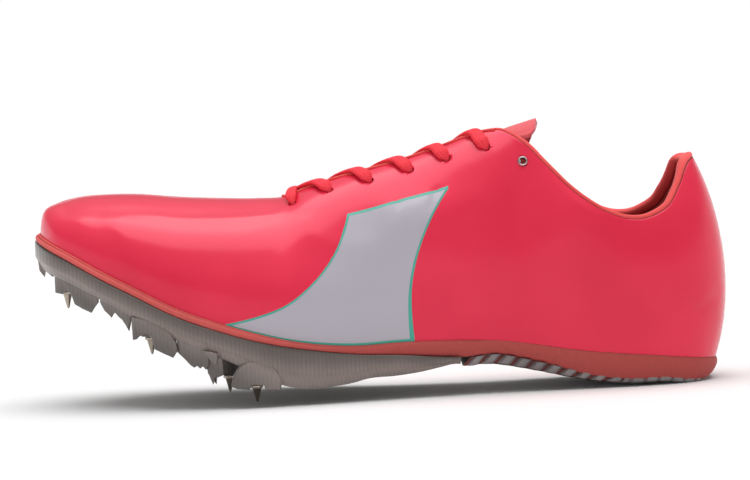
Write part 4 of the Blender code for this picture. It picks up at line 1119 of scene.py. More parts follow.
def make_tongue(cloth):
    """Thin padded tongue, with a stitched line inside its edge and its free tab above the collar."""
    start, end = last.run_of_edge(-1, TONGUE_END), last.run_of_edge(-1, TONGUE_FRONT)
    runs = last.runs(FINE_STEP, start, end)
    tab = [start + TONGUE_CORNER * (1 - math.cos(math.pi / 2 * k / TAB_STEPS)) for k in range(1, TAB_STEPS)]
    rings = []
    for run in sorted(tab + [run for run in runs if not 0 < run - start < TONGUE_CORNER]):
        along = last.top_along(run)
        half = read_table(TONGUE_LINE, "along", along, "half") * BALL_WIDTH
        left = min(1.0, (run - start) / TONGUE_CORNER)
        half *= TAB_TIP + (1 - TAB_TIP) * round_end(left)
        lows = {side: last.share_at(last.closed_column(side, run), side, half) for side in (-1, 1)}
        shares = [k / TONGUE_FINE for k in range(TONGUE_FINE + 1)]
        spots = [(-1, lows[-1] + (1 - lows[-1]) * share, share) for share in shares]
        spots += [(1, lows[1] + (1 - lows[1]) * share, share) for share in shares[-2::-1]]
        depth = tongue_depth(along)
        outer, inner = [], []
        for side, up, share in spots:
            inwards = share * TONGUE_EDGES
            round_off = TONGUE_WALL / 2 * (1 - round_end(min(1.0, inwards)))
            stitching = STITCH_DEPTH * math.exp(-((inwards - STITCH_PLACE) / STITCH_HALF) ** 2)
            outer.append(last.beside(side, run, up, -depth - round_off - stitching, True))
            inner.append(last.beside(side, run, up, -depth - TONGUE_WALL + round_off, True))
        rings.append(outer + inner[::-1])
    made = keep("tongue_pad", rings_to_mesh(rings), cloth, smooth=60)
    return place_piece(made, "tongue_cloth", "tongue")


def make_insole(cloth):
    sides = [
        Side(-INSOLE_INSET - INSOLE_THICKNESS * 0.3 * (1 - math.sin(math.pi * k / 6)), k / 6)
        for k in range(7)
    ]
    runs = last.runs(SOLE_STEP, last.run_at(INSOLE_BACK), last.run_at(INSOLE_FRONT))
    rings = [sole_ring(last, run, sides, sole.insole_top, sole.insole_bottom, SOLE_ACROSS) for run in runs]
    made = keep("insole_pad", rings_to_mesh(rings), cloth)
    return place_piece(made, "insole_cloth", "insole")


# Sole


def rim_closing(share):
    """How far a layer reaches into the clearance above it, which it does at its rim."""
    return GAP * RIM_CLOSE * abs(share) ** RIM_POWER


def foam_top(along, share):
    """Top of the foam, which meets the upper at the rim."""
    return sole.footbed(along, share) + rim_closing(share)


def plate_top(along, share):
    """Top of the plate, which meets the foam at the rim."""
    return sole.under_midsole(along, share) + rim_closing(share)


def foam_bottom(along, share=0.0):
    """Underside of the foam: at the heel its edge hangs down over the rubber."""
    covered = TREAD_COVERED * (1 - smoothstep(*TREAD_COVER, along)) * abs(share) ** RIM_POWER
    thick = sole.tread_top(along, share) - sole.tread_bottom(along, share)
    return sole.midsole_bottom(along, share) - thick * covered


def tread_top(along, share):
    """Top of the rubber, which meets the foam at the rim."""
    return sole.tread_top(along, share) + rim_closing(share)


def make_midsole(foam):
    rings = []
    for run in last.runs(SOLE_STEP):
        along = last.along(run)
        rim = rim_outset(along)
        tuck = HEEL_TUCK * (1 - smoothstep(RIM_START, RIM_FULL, along))
        sides = [Side(rim - RIM / 3, 0.0)]
        for k in range(1, 12):
            down = k / 12
            belly = math.sin(math.pi * down) ** 0.5
            sides.append(Side(rim - RIM / 3 * (1 - belly) - tuck * down**3, down))
        sides.append(Side(rim - RIM / 3 - tuck, 1.0))
        rings.append(sole_ring(last, run, sides, foam_top, foam_bottom, SOLE_ACROSS))
    marks = [("run", [[run] * len(rings[0]) for run in last.runs(SOLE_STEP)])]
    return place_piece(keep("midsole_foam", rings_to_mesh(rings, marks), foam), "midsole_foam", "midsole")


def make_bead(foam):
    """Bead of foam that closes the corner between the film and the rim round the forefoot."""
    runs = last.runs(SOLE_STEP, last.run_at(BEAD_START[0]))
    stops = round_front(runs)
    path, halves = [], []
    for side, run in stops:
        out = last.outward(side, run, 0.0)
        level = Vector((out.x, out.y, 0.0)).normalized()
        path.append(last.point(side, run, 0.0) + level * BEAD_HALF)
        halves.append(BEAD_HALF * (0.2 + 0.8 * smoothstep(*BEAD_START, last.along(run))))
    rings = round_rings(path, halves)
    marks = [("run", [[run] * len(rings[0]) for _, run in stops])]
    return place_piece(keep("rim_bead", rings_to_mesh(rings, marks), foam, smooth=80), "midsole_foam")


def revolve(work, profile, turns, matrix):
    """Surface turned from (radius, height) rows round +Z, closed at ends that lie on the axis."""
    rings = []
    for radius, height in profile:
        count = turns if radius > WELD else 1
        rings.append([
            work.verts.new(matrix @ Vector((
                radius * math.cos(2 * math.pi * k / turns),
                radius * math.sin(2 * math.pi * k / turns),
                height,
            )))
            for k in range(count)
        ])
    for low, high in zip(rings, rings[1:]):
        for k in range(turns):
            corners = [low[k % len(low)], low[(k + 1) % len(low)]]
            corners += [high[(k + 1) % len(high)], high[k % len(high)]]
            work.faces.new(list(dict.fromkeys(corners)))


def add_lug(work, tooth):
    """Moulded blade on the plate's side: a rounded root, sides that draw in and a sloping foot."""
    middle = sole.spot(tooth.along, tooth.across)
    toward = math.copysign(1.0, tooth.across)
    half_x, half_y = tooth.length * LENGTH / 2, tooth.width * BALL_WIDTH / 2
    rings = []
    for k in range(LUG_LEVELS + 1):
        down = k / LUG_LEVELS
        draw = 1 - LUG_DRAW * down
        draw_end = draw * (1 - LUG_ROUND * max(0.0, (down - 0.8) / 0.2) ** 2)
        ring = []
        for j in range(LUG_SIDES):
            turn = 2 * math.pi * (j + 0.5) / LUG_SIDES
            c, s = math.cos(turn), math.sin(turn)
            x = middle.x + half_x * draw_end * squared(c, LUG_SQUARE[0])
            y = middle.y + toward * half_y * draw_end * squared(s, LUG_SQUARE[1])
            along = along_at(x)
            forward = 0.5 - (x - middle.x) / (2 * half_x)
            drop = tooth.back_drop + (tooth.front_drop - tooth.back_drop) * forward
            low = sole.skirt(along) - drop * TOOTH_DEPTH
            high = sole.under_midsole(along) - PLATE_WEB / 2
            ring.append(Vector((x, y, high + (low - high) * down)))
        rings.append(ring)
    capped_skin(work, rings, True)


def add_lateral_lug(work, lug):
    """Blade along the plate's side, with eased rims; without a crown its root lies inside the plate."""
    rows = list(lug.foot)
    if lug.crown:
        rows += lug.crown
    else:
        for along in (rows[-1][0] - LUG_ROOT_BACK, rows[0][0]):
            rows.append((along, (sole.under_midsole(along) - PLATE_WEB / 2) / TOE_SPRING))
    flat = [Vector((place(along), height * TOE_SPRING)) for along, height in rows]
    rings = []
    for share, ease in LUG_PROFILE:
        ring = []
        for k, spot in enumerate(flat):
            ahead = (flat[(k + 1) % len(flat)] - flat[k - 1]).normalized()
            eased = spot + Vector((-ahead.y, ahead.x)) * ease * LUG_EASE
            run = last.run_at(min(along_at(eased.x), LUG_PLAN_END))
            side = last.edge(-1, run, lug.outset - lug.width * share)
            ring.append(Vector((eased.x, side.y, eased.y)))
        rings.append(ring)
    capped_skin(work, rings, True)


def spike_base(spike):
    """Centre of the flat face that a spike screws up to."""
    spot = sole.spot(spike.along, spike.across)
    return Vector((spot.x, spot.y, spike.tip * TOE_SPRING + SPIKE_EXPOSED + GAP))


def make_plate(plastic):
    """Plate with its skirt, side lugs, round seats and the ribs between them."""
    rings = []
    runs = last.runs(SOLE_STEP, last.run_at(PLATE_BACK))
    for run in runs:
        rim = rim_outset(last.along(run)) + PLATE_RIM
        sides = [Side(rim - PLATE_RIM * back - SKIRT_TUCK * tuck, down) for back, tuck, down in PLATE_SIDE]
        rings.append(sole_ring(last, run, sides, plate_top, sole.plate_bottom, SOLE_ACROSS))
    work = rings_to_mesh(rings, [("drop", [[0.0] * len(ring) for ring in rings])])
    for tooth in TEETH:
        add_lug(work, tooth)
    for lug in LATERAL_LUGS:
        add_lateral_lug(work, lug)
    for spike in SPIKES:
        base = spike_base(spike)
        high = sole.under_midsole(spike.along) - PLATE_WEB / 2 - base.z
        profile = [(0.0, high), (BOSS_RADIUS * 1.2, high), (BOSS_RADIUS * 1.02, BOSS_RADIUS * 0.3)]
        profile += [
            (BOSS_RADIUS - BOSS_EASE * (1 - math.cos(turn)), BOSS_EASE * (1 - math.sin(turn)))
            for turn in (0.0, 0.5, 1.0, math.pi / 2)
        ]
        seat = SPIKE_SHOULDER_RADIUS + GAP * 2
        profile += [(seat, 0.0), (seat, GAP * 2), (0.0, GAP * 2)]
        revolve(work, profile, 40, Matrix.Translation(base))
    for start, end in WEB_RIBS:
        points = []
        for along, across in (start, end):
            spot = sole.spot(along, across)
            points.append(Vector((spot.x, spot.y, sole.plate_bottom(along, across))))
        ahead = (points[1] - points[0]).normalized()
        across = ahead.cross(Vector((0, 0, 1))).normalized()
        loops = []
        for k in range(13):
            centre = points[0].lerp(points[1], k / 12)
            centre.z = sole.under_midsole(along_at(centre.x)) - PLATE_WEB
            loop = []
            for turn in (math.pi * j / 8 for j in range(9)):
                drop = Vector((0, 0, WEB_RIB_RISE * math.sin(turn)))
                loop.append(centre + across * (WEB_RIB_HALF * math.cos(turn)) - drop)
            loops.append(loop + [centre + Vector((0, 0, PLATE_WEB / 3))])
        capped_skin(work, loops)
    # Share of the way down from the plate's top to the skirt's edge, which the plate's colour reads to paint
    # light and shade by height
    layer = work.verts.layers.float["drop"]
    for vertex in work.verts:
        along = min(1.0, max(PLATE_BACK, along_at(vertex.co.x)))
        top = sole.under_midsole(along)
        vertex[layer] = (top - vertex.co.z) / (top - sole.skirt(along))
    return place_piece(keep("plate_moulding", work, plastic, smooth=34), "plate_plastic", "spike_plate")


def make_spikes(steel):
    """Pins with a hexagon to turn them by, a waisted neck and a blunt point."""
    cone = [
        (0.0, -SPIKE_SHOULDER_HEIGHT * 0.5),
        (SPIKE_SHOULDER_RADIUS * 0.74, -SPIKE_SHOULDER_HEIGHT * 0.5),
        (SPIKE_SHOULDER_RADIUS * 0.74, -SPIKE_SHOULDER_HEIGHT * 1.1),
        (SPIKE_SHOULDER_RADIUS * 0.66, -SPIKE_SHOULDER_HEIGHT * 1.3),
        (SPIKE_TIP_RADIUS * 1.2, -SPIKE_EXPOSED + SPIKE_TIP_RADIUS),
        (SPIKE_TIP_RADIUS * 0.8, -SPIKE_EXPOSED + SPIKE_TIP_RADIUS * 0.3),
        (0.0, -SPIKE_EXPOSED),
    ]
    ease = SPIKE_SHOULDER_RADIUS * 0.12
    head = [
        (0.0, 0.0),
        (SPIKE_SHOULDER_RADIUS - ease, 0.0),
        (SPIKE_SHOULDER_RADIUS, -ease),
        (SPIKE_SHOULDER_RADIUS, -SPIKE_SHOULDER_HEIGHT + ease),
        (SPIKE_SHOULDER_RADIUS - ease, -SPIKE_SHOULDER_HEIGHT),
        (0.0, -SPIKE_SHOULDER_HEIGHT),
    ]
    for k, spike in enumerate(SPIKES):
        work = bmesh.new()
        matrix = Matrix.Translation(spike_base(spike) - Vector((0, 0, GAP)))
        revolve(work, head, 6, matrix)
        revolve(work, cone, 28, matrix)
        made = keep(f"pin_{k + 1}", work, steel, smooth=30)
        place_piece(made, "pin_steel", f"spike_{k + 1}")


def make_tread(rubber, shaded_groove):
    """Rubber ribs down the edge of arch and heel, with grooves between them whose sides carry painted shade.
    """
    rings = []
    start, end = last.run_at(TREAD_BACK), last.run_at(TREAD_FRONT)
    ribs_start = last.run_at(RIBS_BACK)
    pitch = (end - ribs_start) / RIB_COUNT
    notches = round((ribs_start - start) / pitch) * RIB_SAMPLES
    stops = []
    for k in range(notches):
        share = (k % RIB_SAMPLES) / RIB_SAMPLES
        raised = NOTCH_FLOOR + (1 - NOTCH_FLOOR) * smoothstep(0.0, NOTCH_HALF, abs(2 * share - 1))
        stops.append((start + (ribs_start - start) * k / notches, raised))
    for k in range(RIB_COUNT * RIB_SAMPLES):
        share = (k % RIB_SAMPLES) / RIB_SAMPLES
        raised = smoothstep(*RIB_FRONT, share) * (1 - smoothstep(*RIB_REAR, share))
        stops.append((ribs_start + pitch * k / RIB_SAMPLES, raised))
    stops.append((end, 0.0))
    for run, raised in stops:
        along = last.along(run)
        rim = rim_outset(along) - HEEL_TUCK + GAP - RIB_RAISE * 1.6 * (1 - raised)
        rim -= TREAD_INSET * (1 - smoothstep(*TREAD_COVER, along))
        slant = RIB_SLANT * smoothstep(*RIB_LEAN_START, along)
        sides = [Side(rim - back, down) for back, down in TREAD_SIDE]
        rings.append(sole_ring(last, run, sides, tread_top, sole.tread_bottom, SOLE_ACROSS, slant))
    marks = [("raised", [[raised] * len(rings[0]) for _, raised in stops])]
    work = rings_to_mesh(rings, marks)
    layer = work.verts.layers.float["raised"]
    work.normal_update()
    # Sides of the recessed stretches between the ribs take the second material, painted shade
    for face in work.faces:
        if face.normal.z > -0.7 and sum(v[layer] for v in face.verts) < 0.15 * len(face.verts):
            face.material_index = 1
    return place_piece(keep("tread_rubber", work, rubber, shaded_groove), "tread_rubber", "heel_tread")


# Laces and eyelets


def strap(name, path, acrosses, half_widths, half_heights, material):
    """Flat round-edged braid along a path; acrosses holds the direction of its width at each point."""
    rings, lengths, places = [], [], []
    length = 0.0
    for i, point in enumerate(path):
        run = heading(path, i)
        across = (acrosses[i] - run * acrosses[i].dot(run)).normalized()
        up = across.cross(run).normalized()
        ring, place_row = [], []
        for k in range(STRAP_SIDES):
            turn = 2 * math.pi * (k + 0.5) / STRAP_SIDES
            c, s = math.cos(turn), math.sin(turn)
            wide, tall = squared(c, STRAP_SQUARE[0]), squared(s, STRAP_SQUARE[1])
            ring.append(point + across * (half_widths[i] * wide) + up * (half_heights[i] * tall))
            place_row.append(wide)
        length += (point - path[i - 1]).length if i else 0.0
        rings.append(ring)
        lengths.append([length] * STRAP_SIDES)
        places.append(place_row)
    return keep(name, rings_to_mesh(rings, [("run", lengths), ("across", places)]), material, smooth=80)


def make_laces(braid):
    lift = LACE_THICKNESS / 2 + GAP
    half = LACE_WIDTH / 2

    def edge_point(side, along):
        run = last.run_of_edge(side, along)
        return last.point(side, run, 1.0), last.outward(side, run, 1.0)

    def on_tongue(side, along, share):
        run = last.run_of_edge(side, along)
        column = last.closed_column(side, run)
        reach = abs(last.point(side, run, 1.0).y - column[3].y) * share
        up = last.share_at(column, side, reach)
        return last.beside(side, run, up, lift - tongue_depth(along), True)

    def out_of_hole(side, along, target):
        """First points of a strand: up through the hole, then flat towards the target."""
        centre, out = lace_hole(side, along, LACE_HOLE_INSET)
        toward = target - centre
        toward = (toward - out * toward.dot(out)).normalized()
        points = [
            centre - out * (UPPER_WALL + STRAND_INSIDE) + toward * STRAND_AHEAD * 0.2,
            centre - out * STRAND_IN_HOLE + toward * STRAND_AHEAD * 0.4,
            centre + out * lift * 0.9 + toward * (STRAND_BEND[0] + STRAND_AHEAD),
            centre + out * lift * 1.05 + toward * (STRAND_BEND[1] + STRAND_AHEAD),
        ]
        return points, out, toward.cross(out).normalized()

    def strand(name, side, near, far, lift_middle):
        edge, out_edge = edge_point(side, near + (far - near) * LACE_OVER_EDGE)
        edge = edge + out_edge * lift
        head, out, across = out_of_hole(side, near, edge)
        hidden = on_tongue(-side, near + (far - near) * (STRAND_REACH + 0.1), 1.30)
        dip = on_tongue(-side, near + (far - near) * STRAND_REACH, 0.95)
        middle = (edge + dip) / 2 + Vector((0, 0, lift_middle))
        path = smooth_path(head + [edge, middle, dip, hidden], STRAP_STEPS)
        across_end = (hidden - middle).cross(Vector((0, 0, 1))).normalized()
        acrosses, halves, depths = [], [], []
        for k, point in enumerate(path):
            share = k / (len(path) - 1)
            depths.append(LACE_THICKNESS / 2 * (1 - STRAND_FLATTEN * smoothstep(*STRAND_THIN, share)))
            acrosses.append(across.lerp(across_end, smoothstep(*STRAND_TURN, share)))
            swell = STRAND_SWELL - (STRAND_SWELL - 1) * smoothstep(*STRAND_NARROW, share)
            halves.append(half * (STRAND_ROOT + (swell - STRAND_ROOT) * smoothstep(*STRAND_WIDEN, share)))
        return strap(name, path, acrosses, halves, depths, braid)

    run = last.run_of_edge(-1, LACE_ROWS[0])
    crest = last.closed_column(-1, run)[3] + Vector((0, 0, lift))
    edges = {}
    for side in (-1, 1):
        point, out = edge_point(side, LACE_ROWS[0])
        edges[side] = point + out * lift
    lateral, _, across = out_of_hole(-1, LACE_ROWS[0], edges[-1])
    medial, _, across_end = out_of_hole(1, LACE_ROWS[0], edges[1])
    path = smooth_path(lateral + [edges[-1], crest, edges[1]] + medial[::-1], STRAP_STEPS)
    acrosses, halves = [], []
    for k in range(len(path)):
        share = k / (len(path) - 1)
        acrosses.append(across.lerp(-across_end, smoothstep(*BAR_TURN, share)))
        end = min(share, 1 - share)
        halves.append(half * (STRAND_ROOT + (1 - STRAND_ROOT) * smoothstep(*BAR_WIDEN, end)))
    depths = [LACE_THICKNESS / 2] * len(path)
    place_piece(strap("bar_strand", path, acrosses, halves, depths, braid), "lace_braid", "lace_bar")
    for k, (far, near) in enumerate(zip(LACE_ROWS, LACE_ROWS[1:])):
        over = strand(f"over_strand_{k + 1}", -1, near, far, LACE_THICKNESS * OVER_LIFT)
        place_piece(over, "lace_braid", f"lace_crossing_{k + 1}")
        under = strand(f"under_strand_{k + 1}", 1, near, far, LACE_THICKNESS * UNDER_LIFT)
        place_piece(under, "lace_braid")


def make_eyelets(steel):
    rise = EYELET_WALL * 1.6
    profile = [(EYELET_BORE, -UPPER_WALL), (EYELET_BORE, rise * 0.6)]
    for k in range(9):
        turn = math.pi * (1 - k / 8)
        middle = (EYELET_BORE + RING_REACH) / 2
        half = (RING_REACH - EYELET_BORE) / 2
        profile.append((middle + half * math.cos(turn), GAP + rise * math.sin(turn)))
    profile += [(EYELET_BORE + EYELET_WALL, GAP), (EYELET_BORE + EYELET_WALL, -UPPER_WALL)]
    profile.append(profile[0])
    for side, node in ((-1, "eyelet_lateral"), (1, "eyelet_medial")):
        centre, out = lace_hole(side, EYELET_ALONG, EYELET_INSET)
        work = bmesh.new()
        revolve(work, profile, 40, Matrix.Translation(centre) @ turned_to(out))
        place_piece(keep(node.replace("eyelet", "ring"), work, steel, smooth=50), "pin_steel", node)


# Side panels


def make_saddle(side, field, edging):
    """Plain band of coloured film over the waist, with a narrow edging, pressed flat onto the side."""
    shares = sorted({k / SADDLE_FINE for k in range(SADDLE_FINE + 1)} | {SADDLE_EDGING, 1 - SADDLE_EDGING})
    rings = []
    marks = {"across": [], "up": []}
    for share in shares:
        outer, inner = [], []
        for part in shares:
            up = SADDLE_UP[0] + (SADDLE_UP[1] - SADDLE_UP[0]) * part
            bow = math.sin(math.pi * part)
            back = SADDLE_FOOT[0] + (SADDLE_TOP[0] - SADDLE_FOOT[0]) * part + SADDLE_HOLLOW[0] * bow
            front = SADDLE_FOOT[1] + (SADDLE_TOP[1] - SADDLE_FOOT[1]) * part - SADDLE_HOLLOW[1] * bow
            run = last.run_at(back + (front - back) * share)
            spot, out = last.point(side, run, up, True), last.outward(side, run, up, True)
            raised = relief(side, spot, last.point(side, run, 0.0))
            edge = min(share, 1 - share, part, 1 - part)
            proud = SADDLE_RISE * smoothstep(0.0, SADDLE_EASE, edge)
            outer.append(spot + out * (raised + proud))
            inner.append(spot + out * (raised - SADDLE_RISE))
        rings.append(outer + inner[::-1])
        marks["across"].append([share] * (2 * len(shares)))
        marks["up"].append(shares + shares[::-1])
    work = rings_to_mesh(rings, list(marks.items()))
    across_layer, up_layer = (work.verts.layers.float[name] for name in ("across", "up"))
    for face in work.faces:
        across = sum(v[across_layer] for v in face.verts) / len(face.verts)
        up = sum(v[up_layer] for v in face.verts) / len(face.verts)
        if min(across, 1 - across, up, 1 - up) < SADDLE_EDGING:
            face.material_index = 1
    name = "lateral" if side < 0 else "medial"
    return place_piece(keep(f"side_panel_{name}", work, field, edging, smooth=60), "side_panel")


# Materials


def fill_ramp(ramp, stops):
    """Sets a colour ramp to rows of a place on it and a colour."""
    while len(ramp.elements) < len(stops):
        ramp.elements.new(0.5)
    for element, (value, colour) in zip(ramp.elements, stops):
        element.position = value
        element.color = (*colour, 1)


class Finish:
    """A material's nodes. Colours are linear."""

    def __init__(self, name, colour, roughness, **sockets):
        self.material = bpy.data.materials.new(name)
        self.material.use_nodes = True
        self.nodes = self.material.node_tree.nodes
        self.links = self.material.node_tree.links
        self.shader = self.nodes["Principled BSDF"]
        self.shader.inputs["Base Color"].default_value = (*colour, 1)
        self.shader.inputs["Roughness"].default_value = roughness
        for socket, value in sockets.items():
            self.shader.inputs[socket.replace("_", " ")].default_value = value
        self.place = self.nodes.new("ShaderNodeTexCoord").outputs["Object"]
        self.height = None

    def noise(self, scale, detail=3.0, stretch=None):
        node = self.nodes.new("ShaderNodeTexNoise")
        node.inputs["Scale"].default_value = scale
        node.inputs["Detail"].default_value = detail
        place_socket = self.place
        if stretch:
            mapping = self.nodes.new("ShaderNodeMapping")
            mapping.inputs["Scale"].default_value = stretch
            self.links.new(self.place, mapping.inputs["Vector"])
            place_socket = mapping.outputs["Vector"]
        self.links.new(place_socket, node.inputs["Vector"])
        return node.outputs["Fac"]

    def math(self, operation, first, second=0.0):
        node = self.nodes.new("ShaderNodeMath")
        node.operation = operation
        for socket, value in zip(node.inputs, (first, second)):
            if isinstance(value, bpy.types.NodeSocket):
                self.links.new(value, socket)
            else:
                socket.default_value = value
        return node.outputs[0]

    def mark(self, name):
        node = self.nodes.new("ShaderNodeAttribute")
        node.attribute_name = name
        return node.outputs["Fac"]

    def ribbing(self, pitch):
        """Fine ribs across the length of the shoe."""
        split = self.nodes.new("ShaderNodeSeparateXYZ")
        self.links.new(self.place, split.inputs["Vector"])
        return self.math("SINE", self.math("MULTIPLY", split.outputs["X"], 2 * math.pi / pitch))

    def colours(self, fac, *stops):
        """Base colour by a value: rows of value and colour."""
        node = self.nodes.new("ShaderNodeValToRGB")
        fill_ramp(node.color_ramp, stops)
        self.links.new(fac, node.inputs["Fac"])
        self.links.new(node.outputs["Color"], self.shader.inputs["Base Color"])

    def roughen(self, fac, low, high):
        node = self.nodes.new("ShaderNodeMapRange")
        node.inputs["To Min"].default_value = low
        node.inputs["To Max"].default_value = high
        self.links.new(fac, node.inputs["Value"])
        self.links.new(node.outputs["Result"], self.shader.inputs["Roughness"])

    def bump(self, height, distance, strength=1.0, coat=False):
        node = self.nodes.new("ShaderNodeBump")
        node.inputs["Distance"].default_value = distance
        node.inputs["Strength"].default_value = strength
        self.links.new(height, node.inputs["Height"])
        if self.height:
            self.links.new(self.height, node.inputs["Normal"])
        self.height = node.outputs["Normal"]
        self.links.new(self.height, self.shader.inputs["Normal"])
        if coat:
            self.links.new(self.height, self.shader.inputs["Coat Normal"])


def film_finish():
    made = Finish(
        "glossy_film", (0.76, 0.031, 0.072), 0.24,
        Specular_IOR_Level=0.55, Specular_Tint=(1.0, 0.24, 0.32, 1.0), Coat_Weight=0.18, Coat_Roughness=0.055,
    )
    made.colours(made.noise(22.0, 2.0), (0.35, (0.71, 0.026, 0.064)), (0.65, (0.79, 0.034, 0.079)))
    made.bump(made.noise(46.0, 3.0), 0.0006, 0.35, coat=True)
    made.bump(made.noise(900.0, 2.0), 0.00004, 0.30)
    return made.material


def panel_finish(name, colour):
    made = Finish(name, colour, 0.36, Specular_IOR_Level=0.15, Coat_Weight=0.6, Coat_Roughness=0.14)
    made.bump(made.noise(46.0, 3.0), 0.0006, 0.30, coat=True)
    return made.material


def knit(name, dark, light, scale, depth=0.00012, sheen=0.25):
    made = Finish(name, light, 0.82, Sheen_Weight=sheen, Sheen_Roughness=0.5)
    cell = made.nodes.new("ShaderNodeTexVoronoi")
    cell.inputs["Scale"].default_value = scale
    made.links.new(made.place, cell.inputs["Vector"])
    made.colours(made.noise(30.0), (0.3, dark), (0.7, light))
    made.bump(cell.outputs["Distance"], depth, 0.8)
    return made.material


def foam_finish():
    made = Finish("midsole_foam", (0.55, 0.095, 0.080), 0.60, Specular_IOR_Level=0.3)
    wave = made.math("SINE", made.math("MULTIPLY", made.mark("run"), 2 * math.pi / FOAM_RIB_PITCH))
    ahead = made.math("MULTIPLY", made.mark("run"), 0.75 / (HEEL_BACK + LENGTH))
    level = made.math("ADD", ahead, made.math("MULTIPLY", made.noise(26.0), 0.25))
    made.colours(
        level,
        (0.05, (0.39, 0.058, 0.051)), (0.50, (0.41, 0.063, 0.055)), (0.68, (0.58, 0.092, 0.082)),
        (0.90, (0.68, 0.108, 0.098)),
    )
    made.bump(wave, 0.00010, 0.25)
    made.bump(made.noise(1400.0, 2.0), 0.00005, 0.4)
    return made.material


def plastic_finish():
    made = Finish(
        "plate_plastic", (0.15, 0.125, 0.110), 0.34,
        Coat_Weight=0.4, Coat_Roughness=0.20, Subsurface_Weight=0.15, Subsurface_Scale=0.002,
    )
    made.shader.inputs["Subsurface Radius"].default_value = (1.0, 0.8, 0.7)
    ribs = made.ribbing(PLATE_RIB_PITCH)
    spots = made.math("MULTIPLY", made.noise(38.0, 4.0), 0.35)
    grain = made.math("ADD", spots, made.math("MULTIPLY", ribs, 0.03))
    # Colour by that share plus the plate's own spots and ribs: darkest just under the foam as painted shade,
    # lightest towards the skirt's edge as painted light for highlights on its edges, darker again down the
    # lugs
    level = made.math("ADD", made.math("MULTIPLY", made.mark("drop"), 0.50), grain)
    made.colours(
        level,
        (0.14, (0.072, 0.052, 0.045)), (0.32, (0.112, 0.086, 0.075)), (0.56, (0.235, 0.182, 0.160)),
        (0.72, (0.170, 0.140, 0.126)), (0.95, (0.100, 0.083, 0.075)),
    )
    made.bump(ribs, 0.00008, 0.5)
    made.bump(made.noise(1100.0, 2.0), 0.00003, 0.4)
    return made.material


def rubber_finish():
    made = Finish("tread_rubber", (0.20, 0.19, 0.18), 0.55)
    made.colours(made.noise(60.0), (0.3, (0.17, 0.15, 0.148)), (0.7, (0.29, 0.262, 0.258)))
    made.bump(made.noise(1200.0, 2.0), 0.00006, 0.5)
    return made.material


def steel_finish(name, colour, roughness):
    made = Finish(name, colour, roughness, Metallic=1.0)
    made.roughen(made.noise(600.0), roughness * 0.7, roughness * 1.4)
    made.bump(made.noise(900.0, 1.0), 0.00002, 0.3)
    return made.material


def braid_finish():
    """Flat braid: slanted yarns that meet in a herringbone along the middle."""
    made = Finish("lace_braid", (0.86, 0.050, 0.075), 0.70, Specular_IOR_Level=0.2)
    slope = made.math("MULTIPLY", made.math("ABSOLUTE", made.mark("across")), BRAID_SLOPE)
    phase = made.math("ADD", made.math("DIVIDE", made.mark("run"), BRAID_PITCH), slope)
    wave = made.math("SINE", made.math("MULTIPLY", phase, 2 * math.pi))
    rows = made.math("SINE", made.math("MULTIPLY", made.mark("across"), 3 * math.pi))
    yarn = made.math("ADD", made.math("MULTIPLY", wave, 0.35), made.math("MULTIPLY", rows, 0.12))
    level = made.math("ADD", yarn, 0.5)
    made.colours(level, (0.10, (0.70, 0.024, 0.040)), (0.60, (0.90, 0.052, 0.076)))
    made.bump(level, 0.00010, 0.6)
    made.bump(made.noise(2600.0, 1.0), 0.00004, 0.5)
    return made.material


# The scene


film = film_finish()
lining = knit("lining_cloth", (0.46, 0.070, 0.060), (0.60, 0.095, 0.080), 900.0)
tape = knit("edge_tape", (0.74, 0.068, 0.066), (0.84, 0.085, 0.082), 1300.0, 0.00008, 0.1)
tongue_cloth = knit("tongue_cloth", (0.66, 0.075, 0.092), (0.76, 0.100, 0.118), 1000.0)
insole_cloth = knit("insole_cloth", (0.30, 0.040, 0.036), (0.40, 0.055, 0.048), 1000.0)
seam = Finish("folded_seam", (0.30, 0.018, 0.022), 0.6).material
# Painted shade: the colour of foam in shade, for the sides of the tread's grooves
shaded_groove = knit("tread_painted_shade", (0.10, 0.030, 0.027), (0.17, 0.040, 0.036), 700.0, 0.00005, 0.0)
field = panel_finish("panel_field", (0.43, 0.405, 0.46))
edging = panel_finish("panel_edging", (0.050, 0.36, 0.28))
steel = steel_finish("pin_steel", (0.42, 0.36, 0.295), 0.20)

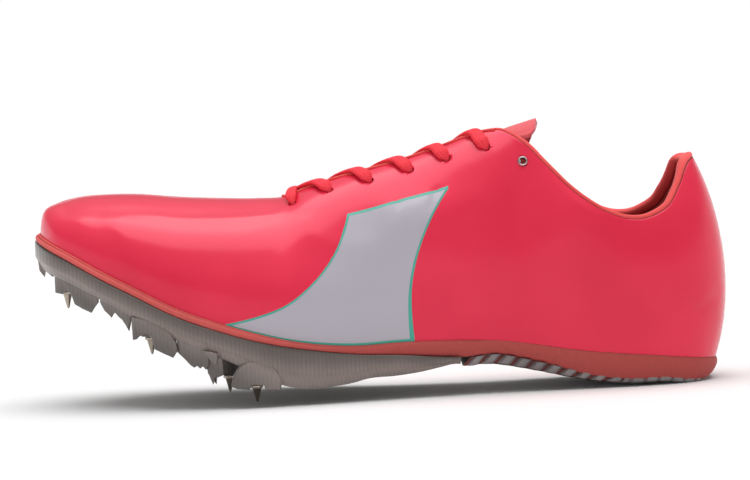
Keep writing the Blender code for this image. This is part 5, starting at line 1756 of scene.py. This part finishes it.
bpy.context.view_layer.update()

foam = foam_finish()
make_upper(film, lining, seam)
make_piping(tape)
make_roll(tape)
make_tongue(tongue_cloth)
make_insole(insole_cloth)
make_midsole(foam)
make_bead(foam)
make_plate(plastic_finish())
make_spikes(steel)
make_tread(rubber_finish(), shaded_groove)
make_laces(braid_finish())
make_eyelets(steel_finish("ring_steel", (0.46, 0.45, 0.44), 0.30))
for side in (-1, 1):
    make_saddle(side, field, edging)


# Camera, floor and light


def make_camera():
    data = bpy.data.cameras.new("photo_camera")
    made = bpy.data.objects.new("photo_camera", data)
    bpy.context.scene.collection.objects.link(made)
    tilt, roll = math.radians(CAMERA_ELEVATION), math.radians(CAMERA_ROLL)
    ahead = Vector((0, math.cos(tilt), -math.sin(tilt)))
    level, upright = Vector((1, 0, 0)), Vector((0, math.sin(tilt), math.cos(tilt)))
    right = level * math.cos(roll) - upright * math.sin(roll)
    up = level * math.sin(roll) + upright * math.cos(roll)
    turned = Matrix((right, up, -ahead)).transposed()
    made.matrix_world = Matrix.Translation(Vector(CAMERA_TARGET) - ahead * CAMERA_DISTANCE) @ turned.to_4x4()
    data.sensor_width = SENSOR_WIDTH
    data.lens = data.sensor_width * CAMERA_DISTANCE / FRAME_WIDTH
    bpy.context.scene.camera = made


def make_floor():
    work = bmesh.new()
    bmesh.ops.create_grid(work, x_segments=1, y_segments=1, size=FLOOR_HALF)
    finish = Finish("floor_paper", (0.80, 0.80, 0.80), 0.85)
    made = keep("floor", work, finish.material)
    made.location = (place(0.5), 0, -FLOOR_CLEAR)


def make_world():
    """White near the horizon, dim above it and bright overhead, the same all round."""
    world = bpy.data.worlds.new("soft_white")
    world.use_nodes = True
    nodes, links = world.node_tree.nodes, world.node_tree.links
    split = nodes.new("ShaderNodeSeparateXYZ")
    links.new(nodes.new("ShaderNodeTexCoord").outputs["Generated"], split.inputs["Vector"])
    ramp = nodes.new("ShaderNodeValToRGB")
    ramp.color_ramp.interpolation = "EASE"
    fill_ramp(ramp.color_ramp, [(height, (light, light, light)) for height, light in SKY])
    links.new(split.outputs["Z"], ramp.inputs["Fac"])
    links.new(ramp.outputs["Color"], nodes["Background"].inputs["Color"])
    nodes["Background"].inputs["Strength"].default_value = SKY_STRENGTH
    bpy.context.scene.world = world


make_camera()
make_floor()
make_world()
bpy.context.scene.view_settings.view_transform = "Standard"
